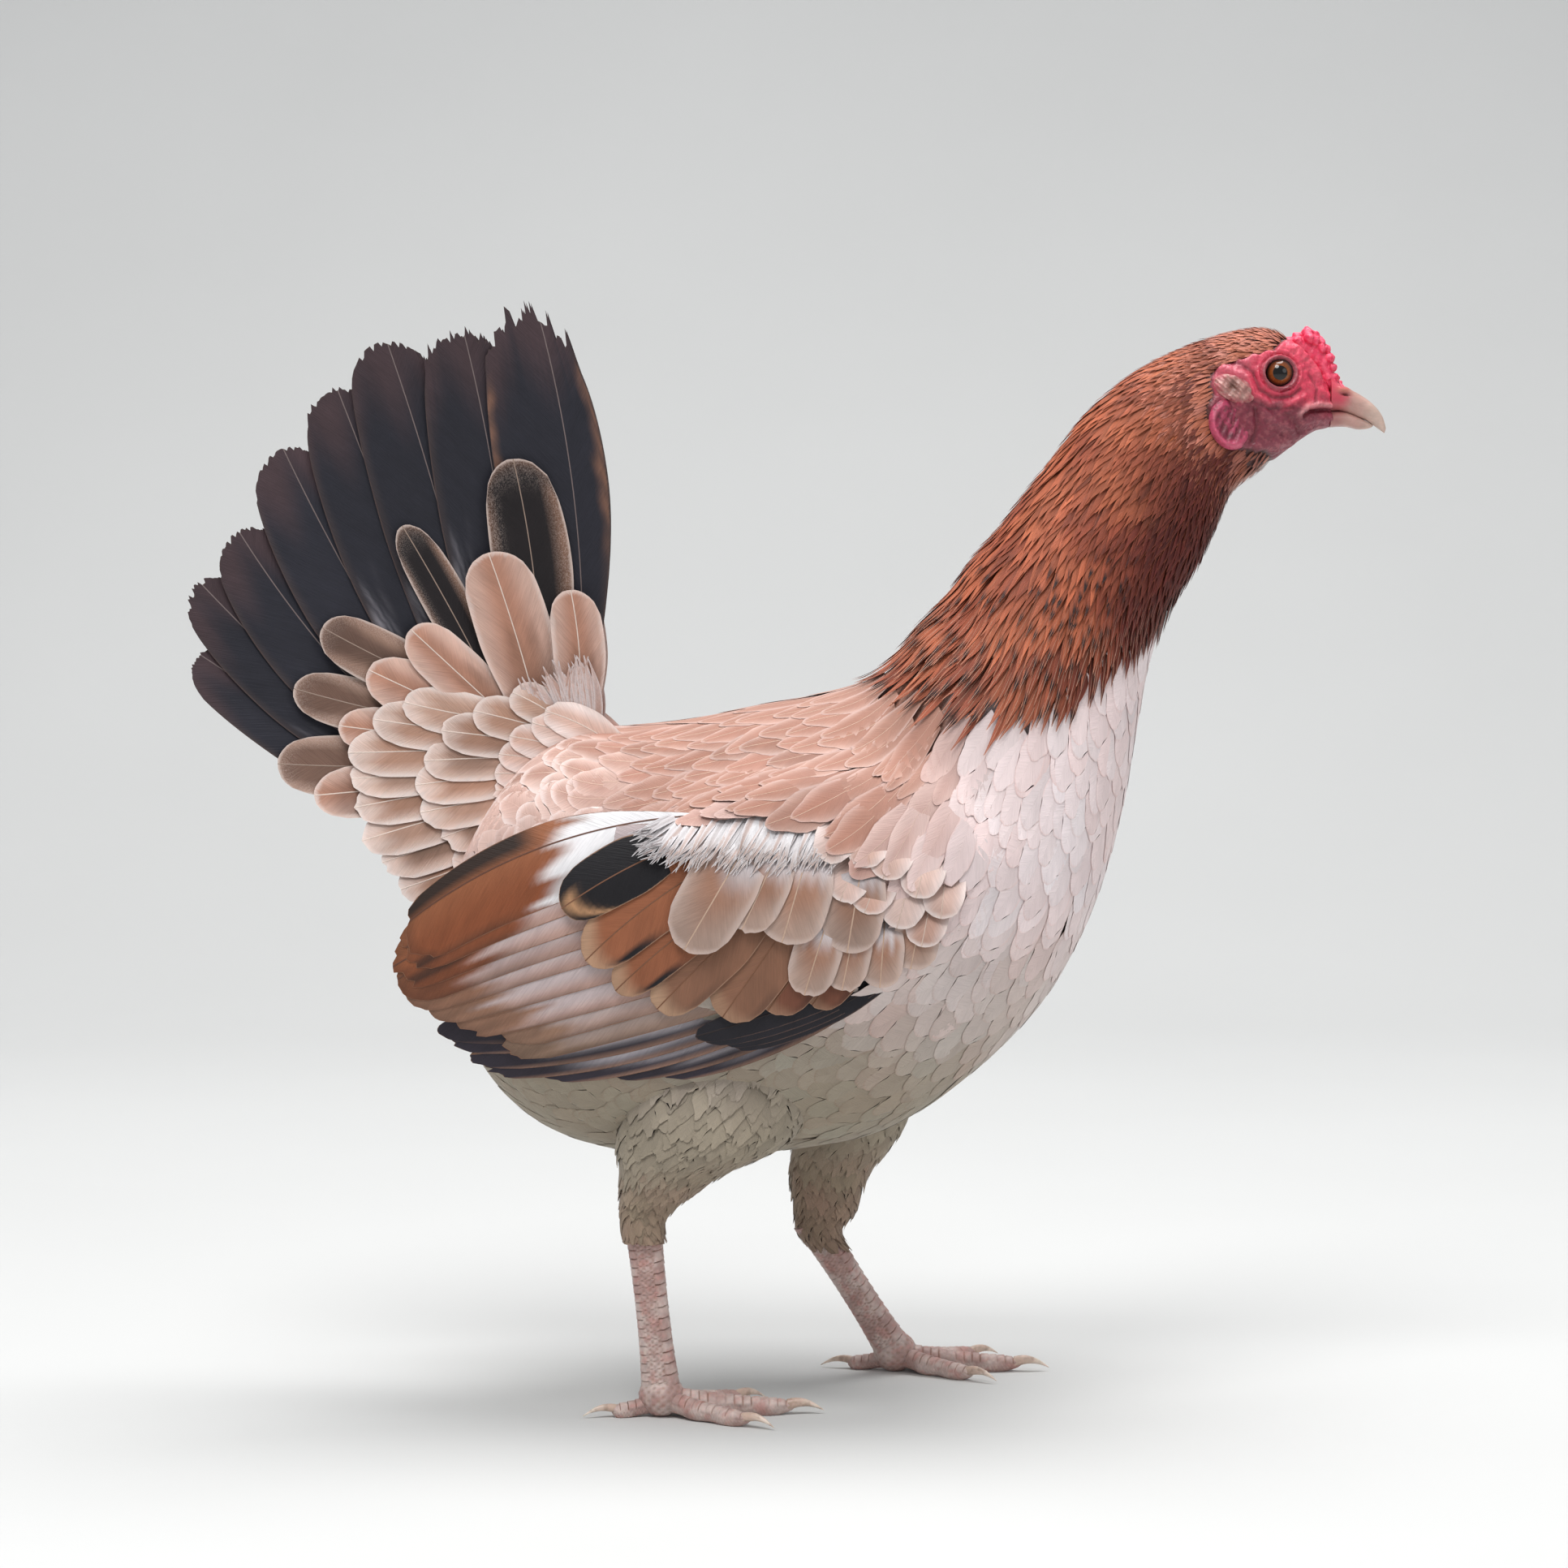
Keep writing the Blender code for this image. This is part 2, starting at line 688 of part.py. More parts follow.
def make_leg(side, end, torso, into):
    """Thigh, scaled shank with the ball of the foot, toes and claws of one leg."""
    rows = [(x, side * y, z, a, b) for x, y, z, a, b in THIGHS[side]]
    rings = []
    for i in range(8):
        x, y, z, half_length, half_width = along(rows, (len(rows) - 1) * i / 7)
        rings.append(oval((x, y, z), half_length, half_width, 16))
    thigh = loft(f"thigh_{end}", rings, "plumage", into)
    cut_clear(thigh, torso)
    shank = make_shank(side, end, into)
    cut_clear(shank, thigh)
    placed = [shank]
    for name, heading, length, radius, scutes in TOES:
        toe = make_toe(f"toe_{end}_{name}", side, heading, length, radius, scutes, into)
        cut_clear(toe, *placed)
        claw = make_claw(f"claw_{end}_{name}", side, heading, length, radius, into)
        cut_clear(claw, toe)
        placed.append(toe)


def scute_shares(count):
    """Places of rings along a scaled limb, each with its step: every scute starts flush and
    ends raised over the next one."""
    places = []
    for i in range(count):
        places.append(((i + 0.06) / count, 0))
        places.append(((i + 0.94) / count, SCUTE_STEP))
    return places


def on_ground(point):
    """Presses a point that would pass the ground back onto it."""
    return Vector((point.x, point.y, max(point.z, 0)))


def make_shank(side, end, into):
    """A tube from the hock to the ball of the foot, with a row of scutes down its front."""
    (hx, hy, hz), (fx, fy, fz) = SHANKS[side]
    top, foot = Vector((hx, side * hy, hz)), Vector((fx, side * fy, fz))
    axis = (foot - top).normalized()
    ahead = Vector((0, side, 0)).cross(axis).normalized() * side
    if ahead.x < 0:
        ahead.negate()
    across = axis.cross(ahead).normalized()
    rings = []
    for share, step in scute_shares(SHANK_SCUTES):
        swell = 1 + 0.3 * (1 - share) ** 4 + 0.3 * share**5
        centre = top.lerp(foot, share)
        ring = []
        for j in range(10):
            a = 2 * math.pi * j / 10
            raised = step * max(math.cos(a), 0) ** 0.5
            out = ahead * (math.cos(a) * (SHANK_DEPTH * swell + raised))
            out += across * (math.sin(a) * (SHANK_WIDTH * swell + raised))
            ring.append(on_ground(centre + out))
        rings.append(ring)
    shank = loft(f"shank_{end}", rings, "scale", into)
    sole = collection("sole")
    pad = ball("pad", foot, [BALL_RADIUS] * 3, "scale", sole, 14)
    for vert in pad.data.vertices:
        vert.co.z = max(vert.co.z, 0)
    fuse(shank, sole)
    return shank


def toe_frame(side, heading):
    """Start under the ball of the foot, the way that a toe points, and across it."""
    fx, fy, _ = SHANKS[side][1]
    turn = math.radians(heading)
    way = Vector((math.cos(turn), side * math.sin(turn), 0))
    return Vector((fx, side * fy, 0)), way, Vector((-way.y, way.x, 0))


def make_toe(name, side, heading, length, radius, scutes, into):
    """A toe that tapers, scaled on top, with its underside flat on the ground."""
    foot, way, across = toe_frame(side, heading)
    start = 3
    rings = []
    for share, step in scute_shares(scutes):
        centre = foot + way * (start + (length - start) * share)
        thick = radius * (1 - 0.28 * share)
        centre.z = thick * 0.8 + radius * 0.75 * (1 - share) ** 2.5
        ring = []
        for j in range(8):
            a = 2 * math.pi * (j + 0.5) / 8
            raised = thick + (step if math.cos(a) > 0 else 0)
            point = centre + (across * math.sin(a) + Vector((0, 0, math.cos(a)))) * raised
            ring.append(on_ground(point))
        rings.append(ring)
    return loft(name, rings, "scale", into)


def make_claw(name, side, heading, length, radius, into):
    """A curved claw at the end of a toe, its point just above the ground."""
    foot, way, across = toe_frame(side, heading)
    rings, steps, overlap = [], 4, 2
    for i in range(steps + 1):
        share = i / steps
        centre = foot + way * (length - overlap + (CLAW_LENGTH + overlap) * share)
        centre.z = radius * 0.95 + 1.6 * math.sin(math.pi * share * 0.9) - 2.4 * share * share
        thick = radius * 0.5 * (1 - 0.85 * share**1.5)
        ring = []
        for j in range(6):
            a = 2 * math.pi * j / 6
            out = across * math.sin(a) * 0.8 + Vector((0, 0, math.cos(a)))
            ring.append(centre + out * thick)
        rings.append(ring)
    return loft(name, rings, "horn", into)


def main():
    for leftover in list(bpy.data.objects):
        bpy.data.objects.remove(leftover)
    bird = collection("gamefowl_hen")
    torso = body_piece("torso", TORSO_START, NECK_START, 13, 24, "plumage", bird)
    neck = make_neck(torso, bird)
    head = make_head(bird)
    cut_clear(neck, head)
    make_beak(bird)
    make_comb(head, bird)
    make_face(head, bird)
    wings = []
    for side, end in SIDES:
        make_leg(side, end, torso, bird)
        wings.append(make_wing(side, end, torso, bird))
    make_tail(torso, wings, bird)


main()
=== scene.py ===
"""Looks of a standing gamefowl hen: skin, feathers, head, legs and a plain pale stage.

Lengths in the tables are millimetres. Each piece is worked out in place, so its object sits at the
origin. The bird looks towards +X, its right side towards -Y.
"""

import json
import math
from typing import NamedTuple

import bpy
import numpy as np
from bpy.props import FloatProperty, FloatVectorProperty, PointerProperty
from bpy.types import Operator, Panel, PropertyGroup
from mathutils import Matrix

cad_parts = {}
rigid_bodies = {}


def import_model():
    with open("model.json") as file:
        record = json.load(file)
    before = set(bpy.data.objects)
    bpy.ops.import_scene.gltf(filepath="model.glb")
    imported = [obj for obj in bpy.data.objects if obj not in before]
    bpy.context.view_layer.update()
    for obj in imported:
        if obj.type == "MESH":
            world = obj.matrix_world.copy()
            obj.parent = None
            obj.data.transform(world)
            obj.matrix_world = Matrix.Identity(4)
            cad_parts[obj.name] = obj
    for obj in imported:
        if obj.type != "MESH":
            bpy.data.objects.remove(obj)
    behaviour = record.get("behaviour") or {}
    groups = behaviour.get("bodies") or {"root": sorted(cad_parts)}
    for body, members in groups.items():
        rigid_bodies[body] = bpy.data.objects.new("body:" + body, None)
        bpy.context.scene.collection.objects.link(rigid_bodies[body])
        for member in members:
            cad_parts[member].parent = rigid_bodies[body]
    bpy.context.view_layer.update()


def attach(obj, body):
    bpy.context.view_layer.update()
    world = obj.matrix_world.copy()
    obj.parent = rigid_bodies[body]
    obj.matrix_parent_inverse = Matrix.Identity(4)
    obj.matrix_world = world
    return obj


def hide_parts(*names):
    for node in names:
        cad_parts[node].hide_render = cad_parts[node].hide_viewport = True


bl_info = {
    "name": "Gamefowl Hen",
    "version": (1, 0, 0),
    "blender": (4, 5, 0),
    "location": "View3D > Sidebar > Hen",
    "description": "Builds the plumage, skin, head, legs and stage of a life-size gamefowl hen",
    "category": "Add Mesh",
}

for leftover in list(bpy.data.objects):
    bpy.data.objects.remove(leftover)
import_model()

MM = 0.001
SIDES = ((-1, "right"), (1, "left"))

# The trunk, neck and head: back x, z, belly x, z and half width, from the rump to the beak.
STATIONS = (
    (-114, 229, -122, 211, 8),
    (-95, 248, -131, 191, 30),
    (-78, 257, -126, 163, 42),
    (-58, 258, -114, 126, 52),
    (-33, 261, -86, 102, 58),
    (-9, 266, -43, 93, 61),
    (13, 270, -2, 95, 62),
    (30, 275, 38, 103, 62),
    (42, 284, 72, 125, 61),
    (53, 297, 100, 154, 58),
    (63, 308, 118, 188, 53),
    (71, 320, 129, 225, 47),
    (81.5, 332, 135, 259, 40),
    (91, 345, 140, 284, 34),
    (102, 359, 148, 304, 29),
    (113, 374, 157, 318, 26),
    (126, 386.5, 164, 333, 23.5),
    (140, 396, 170, 346, 21.5),
    (157, 403.5, 180, 354, 19.5),
    (171, 408, 189, 361, 17.5),
    (183.5, 409, 197, 367, 15),
    (193, 405, 202, 370, 12),
    (200, 398, 206, 371, 9.3),
    (206, 389, 208.5, 372, 7),
)
# How far the widest place lies under the middle, and how square the sections are.
SLUNG, SQUARE = 0.12, 2.15
# The stations where the bare face starts and where the beak does.
FACE_START, BODY_END = 16.6, len(STATIONS) - 1
COAT_DEPTH, THIGH_COAT_DEPTH = 2.6, 1.5

# Thighs: centre x, y and z, half length fore and aft, half width, from the body down; the last
# row lies below the hock, for feathers that hang over it.
THIGHS = {
    -1: (
        (-18, 30, 142, 38, 22),
        (-29, 37, 106, 34, 22),
        (-42, 39, 91, 20, 15.5),
        (-50, 39, 80, 12, 10),
        (-53, 39, 73, 8.8, 8.0),
        (-52.3, 39.2, 65, 8.3, 7.6),
    ),
    1: (
        (30, 28, 132, 30, 20),
        (25, 33, 98, 22, 17),
        (18, 35, 80, 16, 13),
        (16, 36, 65, 12.5, 10.5),
        (14, 36, 57, 9.2, 8.4),
        (18.5, 37.5, 49, 8.4, 7.7),
    ),
}
# Shanks: the places of the hock and of the ball of the foot.
SHANKS = {-1: ((-53, 39, 72.5), (-46, 41, 7.6)), 1: ((14, 36, 56.5), (44, 46, 7.6))}

EYE, EYE_RADIUS, IRIS_RADIUS = (187, 9.4, 391.5), 6.4, 4.55

SLOPE_STEP = 0.02
SHARP_EDGE = math.radians(75)


# Shapes


def bell(value, width):
    """A bell: e to minus the square of value over width."""
    return np.exp(-((value / width) ** 2))


def smooth(value, low, high):
    """A soft step: 0 under low, 1 over high, the cubic 3u^2 - 2u^3 between."""
    u = np.clip((np.asarray(value, float) - low) / (high - low), 0, 1)
    return u * u * (3 - 2 * u)


def spline(rows, t):
    """Catmull-Rom through the rows of a table: its values at t, counted in rows."""
    table = np.asarray(rows, float)
    t = np.asarray(t, float)
    i = np.clip(np.floor(t).astype(int), 0, len(table) - 2)
    u = (t - i)[..., None]
    p0, p1, p2, p3 = (table[np.clip(i + k, 0, len(table) - 1)] for k in (-1, 0, 1, 2))
    return 0.5 * (
        2 * p1
        + (p2 - p0) * u
        + (2 * p0 - 5 * p1 + 4 * p2 - p3) * u**2
        + (3 * p1 - p0 - 3 * p2 + p3) * u**3
    )


def power_turn(angle, square):
    """Cosine and sine raised to 2 over square with their signs kept: a squarish circle."""
    c, s = np.cos(angle), np.sin(angle)
    return tuple(np.sign(k) * np.abs(k) ** (2 / square) for k in (c, s))


def tube(rows, t, angle, slung=0.0, square=2.0):
    """A tube from upper line, lower line and half width: middle plus up times cosine plus
    sideways times sine, the widest place slung below the middle."""
    ux, uz, lx, lz, half = np.moveaxis(spline(rows, t), -1, 0)
    c, s = power_turn(angle, square)
    up = c - slung * s * s
    return np.stack(((ux + lx + (ux - lx) * up) / 2, half * s, (uz + lz + (uz - lz) * up) / 2), -1)


def body(t, angle):
    """The bird's outline without its big feathers, angle 0 along the back."""
    return tube(STATIONS, t, angle, SLUNG, SQUARE)


def thigh(side):
    """A leg's upper part as a stack of level ovals, t from the hock up, angle 0 forward."""
    rows = THIGHS[side]

    def surface(t, angle):
        """The oval at t: centre plus length times cosine and width times sine."""
        x, y, z, length, width = np.moveaxis(spline(rows, len(rows) - 2 - t), -1, 0)
        return np.stack(
            (x + length * np.cos(angle), side * y - width * np.sin(angle), z), -1
        )

    return surface


def unit(vectors):
    """Vectors at length one."""
    return vectors / np.maximum(np.linalg.norm(vectors, axis=-1, keepdims=True), 1e-9)


def outward(surface, t, angle, step=SLOPE_STEP):
    """The normal of a surface: the cross product of its two slopes."""
    here = surface(t, angle)
    ahead, beside = surface(t + step, angle) - here, surface(t, angle + step) - here
    return unit(np.cross(ahead, beside))


def cross_grid(count_t, count_angle, start, end):
    """Rows of t against a full turn of angles."""
    t = np.linspace(start, end, count_t)
    angle = np.linspace(0, 2 * np.pi, count_angle, endpoint=False)
    return np.meshgrid(t, angle, indexing="ij")


def wave_noise(points, scale, seed, octaves=4):
    """Smooth noise from -1 to 1: sums of sines along random directions, each octave half as
    wide and half as strong."""
    draw = np.random.default_rng(seed)
    total = np.zeros(points.shape[:-1])
    for octave in range(octaves):
        for _ in range(5):
            way = draw.normal(size=3)
            way *= 2**octave / (scale * np.linalg.norm(way))
            total += np.sin(points @ way * 2 * np.pi + draw.uniform(0, 6.28)) / 2**octave
    return total / 4.5


# Meshes

# The kind of attribute for a value of so many numbers, and the name of its field.
POINT_VALUES = {1: ("FLOAT", "value"), 3: ("FLOAT_VECTOR", "vector"), 4: ("FLOAT_COLOR", "color")}


class Mesh:
    """Gathers points, faces and values at points, all as arrays, into one object."""

    def __init__(self):
        self.points, self.faces, self.values, self.count = [], [], {}, 0

    def add(self, points, faces, **values):
        """Adds points (any shape, then 3) and a list of face arrays that index them in order."""
        points = np.asarray(points, float).reshape(-1, 3)
        self.faces += [np.asarray(face).reshape(-1, np.shape(face)[-1]) + self.count for face in faces]
        self.points.append(points)
        for name, value in values.items():
            value = np.asarray(value, float)
            self.values.setdefault(name, []).append(value.reshape(len(points), -1))
        self.count += len(points)

    def tube(self, grid, **values):
        """Adds a tube of rings, grid (ring, around, 3), each end closed by a middle point."""
        rings, around = grid.shape[:2]
        index = np.arange(rings * around).reshape(rings, around)
        beside = np.roll(index, -1, 1)
        quads = np.stack((index[:-1], beside[:-1], beside[1:], index[1:]), -1)
        first, last = rings * around, rings * around + 1
        low = np.stack((np.full(around, first), beside[0], index[0]), -1)
        high = np.stack((np.full(around, last), index[-1], beside[-1]), -1)
        points, faces = with_ends(grid.reshape(first, 3), around), [quads, low, high]
        if signed_volume(points, faces) < 0:
            faces = [face[..., ::-1] for face in faces]
        flat = {name: np.reshape(value, (first, -1)) for name, value in values.items()}
        self.add(points, faces, **{name: with_ends(value, around) for name, value in flat.items()})

    def build(self, name, material, slot, replaces=()):
        """Makes the object, on the body, with a point attribute or UV map for each value."""
        mesh = bpy.data.meshes.new(name)
        points = np.concatenate(self.points) * MM
        corners = np.concatenate([face.ravel() for face in self.faces]).astype(np.int32)
        sizes = np.concatenate([np.full(len(face), face.shape[1]) for face in self.faces])
        starts = np.concatenate(([0], np.cumsum(sizes)[:-1])).astype(np.int32)
        mesh.vertices.add(len(points))
        mesh.vertices.foreach_set("co", points.ravel())
        mesh.loops.add(len(corners))
        mesh.loops.foreach_set("vertex_index", corners)
        mesh.polygons.add(len(starts))
        mesh.polygons.foreach_set("loop_start", starts)
        mesh.update(calc_edges=True)
        for key, parts in self.values.items():
            value = np.concatenate(parts)
            if value.shape[1] == 2:
                layer = mesh.uv_layers.new(name=key)
                layer.data.foreach_set("uv", value[corners].ravel())
            else:
                kind, field = POINT_VALUES[value.shape[1]]
                layer = mesh.attributes.new(key, kind, "POINT")
                layer.data.foreach_set(field, value.ravel())
        if mesh.validate():
            raise RuntimeError(f"{name} has broken faces")
        mesh.shade_smooth()
        mesh.set_sharp_from_angle(angle=SHARP_EDGE)
        mesh.materials.append(material)
        made = bpy.data.objects.new(name, mesh)
        bpy.context.scene.collection.objects.link(made)
        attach(made, "root")
        if replaces:
            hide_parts(*replaces)
        return made


def with_ends(flat, around):
    """Values at rings of points, followed by the mean of the first ring and of the last."""
    return np.concatenate((flat, flat[:around].mean(0)[None], flat[-around:].mean(0)[None]))


def signed_volume(points, faces):
    """Six times the volume inside: positive where the faces point outwards."""
    total = 0
    for face in faces:
        flat = np.asarray(face).reshape(-1, np.shape(face)[-1])
        first = points[flat[:, 0]]
        for k in range(1, flat.shape[1] - 1):
            crossed = np.cross(points[flat[:, k]], points[flat[:, k + 1]])
            total += np.einsum("ij,ij->", first, crossed)
    return total


# Feathers

# The map named vane counts in tenths of a metre.
VANE_UNIT = 100
# The least slope in mm that a turn of angle counts as, near the ends of a surface.
LEAST_SLOPE = 4
# Lines of angle and steps of t along which rows of roots are measured.
ROW_LINES, ROW_STEPS = 181, 240


def shares(count, across):
    """The places on a feather's grid: shares of its length, and of its half width from -1 to 1."""
    return np.linspace(0, 1, count)[None, :, None], np.linspace(-1, 1, across)[None, None, :]


def each(value):
    """One value or colour for each feather, with room for its grid."""
    return np.asarray(value)[:, None, None]


def blade(count, across, base, peak, tip, round_tip, ragged, draw, number):
    """The outline of number feathers as shares: aside is the place across times a width that
    swells from base at the root to 1 at peak and falls to tip, along is the share of length less
    a round cut at the end and a ragged draw for each line of barbs: half of the feathers lose
    nearly all of it but for a few wisps. Both are arrays (feather, along, across)."""
    v, s = shares(count, across)
    swell = smooth(v, -0.15, peak)
    width = (base + (1 - base) * swell) * (1 - (1 - tip) * np.clip((v - peak) / (1 - peak), 0, 1) ** 2)
    cut = round_tip * (1 - np.sqrt(np.clip(1 - (0.985 * s) ** 2, 0, 1)))
    one, strip = (number, 1, 1), (number, 1, across)
    fray = ragged * draw.uniform(0.2, 1.7, one)
    shorn = np.where(draw.random(one) < 0.5, 1, 0) * (1 - draw.random(strip) ** 7)
    cut = cut + fray * (shorn + 0.6 * draw.random(strip) ** 3)
    grid = (number, count, across)
    return np.broadcast_to(s * width, grid), np.broadcast_to(v - cut * v**3, grid)


def vanes(into, points, aside, along, half, length, thickness, patch, outer, shift=0.0, **looks):
    """Adds closed feathers: points (feather, along, across, 3) are the outer face, which looks
    along outer, the inner face lies thickness under it and they share their border. Values at
    points: vane, the place in tenths of a metre from the shaft, which lies off the middle by shift
    half widths; margin, the way to the edge in mm; OFBake, a small patch for each feather."""
    number, rows, columns = points.shape[:3]
    slope_v, slope_s = np.gradient(points, axis=1), np.gradient(points, axis=2)
    normal = unit(np.cross(slope_v, slope_s))
    facing = np.sign((normal.mean((1, 2)) * outer).sum())
    normal = normal * facing
    inner = (points - normal * thickness)[:, 1:-1, 1:-1]
    top = np.arange(rows * columns).reshape(rows, columns)
    under = top.copy()
    under[1:-1, 1:-1] = rows * columns + np.arange((rows - 2) * (columns - 2)).reshape(rows - 2, -1)
    quads = [
        np.stack((grid[:-1, :-1], grid[1:, :-1], grid[1:, 1:], grid[:-1, 1:]), -1).reshape(-1, 4)
        for grid in (top, under)
    ]
    total = rows * columns + (rows - 2) * (columns - 2)
    faces = np.concatenate((quads[0], quads[1][:, ::-1]))
    if facing < 0:
        faces = faces[:, ::-1]
    faces = faces[None] + each(np.arange(number) * total)

    def both(value):
        """A value at the outer face's points and again at the inner face's."""
        value = np.broadcast_to(value, (number, rows, columns, value.shape[-1]))
        flat = value.reshape(number, rows * columns, -1)
        return np.concatenate((flat, value[:, 1:-1, 1:-1].reshape(number, -1, value.shape[-1])), 1)

    half, length = np.reshape(half, (-1, 1, 1)), np.reshape(length, (-1, 1, 1))
    v, s = shares(rows, columns)
    margin = np.minimum((1 - np.abs(s)) * half, (1 - v) * length * 0.9) + 0 * aside
    place = np.stack(((aside - shift) * half, along * length), -1) / VANE_UNIT
    centre, size = patch
    bake = each(centre) + np.stack((aside / 2, along - 0.5), -1) * size
    into.add(
        np.concatenate((points.reshape(number, -1, 3), inner.reshape(number, -1, 3)), 1),
        [faces],
        vane=both(place),
        margin=both(margin[..., None]),
        OFBake=both(bake),
        **{name: both(value) for name, value in looks.items()},
    )


def slope(surface, t, angle, step_t, step_angle):
    """How many mm a surface runs for each unit of t or angle."""
    run = surface(t + step_t, angle + step_angle) - surface(t, angle)
    return np.linalg.norm(run, axis=-1) / SLOPE_STEP


def lay(surface, t, angle, blades, half, length, turn, low, high, camber, floor=0.02, bend=0.8):
    """Lays feathers on a surface. A feather's own axes turn by an angle from the way to the tail,
    its places become steps of t and angle by the surface's slopes there, and it rises over the
    surface from low at its root to high at its tip with its share of length to the power bend,
    its edges lower by camber. No place goes past the floor, the least t."""
    t, angle, half, length, turn, low, high, bend = (
        each(np.broadcast_to(k, np.shape(t))) for k in (t, angle, half, length, turn, low, high, bend)
    )
    slope_t = slope(surface, t, angle, -SLOPE_STEP, 0)
    there = np.maximum(t - 0.6 * length / slope_t, 0.05)
    slope_t = slope(surface, there, angle, -SLOPE_STEP, 0)
    slope_a = slope(surface, there, angle, 0, SLOPE_STEP)
    aside, along = blades
    x, y = aside * half, along * length
    at_t = t - (y * np.cos(turn) - x * np.sin(turn)) / slope_t
    at_angle = angle + (y * np.sin(turn) + x * np.cos(turn)) / np.maximum(slope_a, LEAST_SLOPE)
    rise = np.clip(along, 0, 1) ** bend
    height = low + (high - low) * rise - camber * half * aside**2
    at_t = np.maximum(at_t, floor)
    return surface(at_t, at_angle) + outward(surface, at_t, at_angle) * height[..., None]


def given(rule, value):
    """What a rule says of a value: a function's answer, or a number as it is."""
    return rule(value) if callable(rule) else rule + 0 * value


def rows_of(surface, start, end, spacing, across, seed):
    """Roots in staggered rows: start and end are the first and last t or functions of the angle,
    each row lies a like way in mm down every line of the surface, and the roots of a row are a
    like way apart round it. A root is its t, its angle, its way down and its line's length."""
    draw = np.random.default_rng(seed)
    angle = np.linspace(0, 2 * math.pi, ROW_LINES)
    share = np.linspace(0, 1, ROW_STEPS)[:, None]
    first, last = given(start, angle), given(end, angle)
    t = first[None] + (last - first)[None] * share
    line = surface(t, angle[None] + 0 * t)
    steps = np.cumsum(np.linalg.norm(np.diff(line, axis=0), axis=-1), 0)
    way = np.concatenate((np.zeros((1, len(angle))), steps))
    found, distance, k = [], 0.0, 0
    while distance < way[-1].max():
        row_t = np.array([np.interp(distance, way[:, j], t[:, j]) for j in range(len(angle))])
        alive = way[-1] > distance
        ring = surface(row_t, angle)
        gaps = np.linalg.norm(np.diff(ring, axis=0), axis=-1) * (alive[1:] & alive[:-1])
        round_it = np.concatenate(([0], np.cumsum(gaps)))
        gap = given(across, distance)
        places = (np.arange(int(round_it[-1] / gap)) + 0.5 * (k % 2) + 0.25) * gap
        places = places + draw.normal(0, 0.08, len(places)) * gap
        a = np.interp(places, round_it + np.arange(len(angle)) * 1e-6, angle)
        row_end = np.interp(a, angle, way[-1])
        found.append(np.stack((np.interp(a, angle, row_t), a, np.full(len(a), distance), row_end), -1))
        distance += given(spacing, distance)
        k += 1
    found = np.concatenate(found)
    found[:, 0] += draw.normal(0, 0.1, len(found)) * given(spacing, 0) / 20
    return found, draw


def rgba(colour, alpha=1.0):
    """Colours with a fourth channel."""
    colour = np.asarray(colour)
    return np.concatenate((colour, np.broadcast_to(alpha, colour.shape[:-1] + (1,))), -1)


def tone(base, other, share):
    """One colour turned into another by a share."""
    share = np.asarray(share)[..., None]
    return np.asarray(base) * (1 - share) + np.asarray(other) * share


# Materials


class Wire:
    """A socket that takes part in Python arithmetic: each operator adds a Math node."""

    def __init__(self, finish, socket):
        self.finish, self.socket = finish, socket

    def _with(self, operation, *values):
        return self.finish.node("ShaderNodeMath", {"operation": operation}, dict(enumerate(values)))

    def __add__(self, other):
        return self._with("ADD", self, other)

    def __sub__(self, other):
        return self._with("SUBTRACT", self, other)

    def __rsub__(self, other):
        return self._with("SUBTRACT", other, self)

    def __mul__(self, other):
        return self._with("MULTIPLY", self, other)

    def __truediv__(self, other):
        return self._with("DIVIDE", self, other)

    def __abs__(self):
        return self._with("ABSOLUTE", self)

    def most(self, other):
        """The larger of two values."""
        return self._with("MAXIMUM", self, other)

    def step(self, low, high):
        """A soft step from 0 at low to 1 at high."""
        return self.finish.node(
            "ShaderNodeMapRange",
            {"interpolation_type": "SMOOTHSTEP"},
            {"Value": self, "From Min": low, "From Max": high},
        )

    __radd__ = __add__
    __rmul__ = __mul__


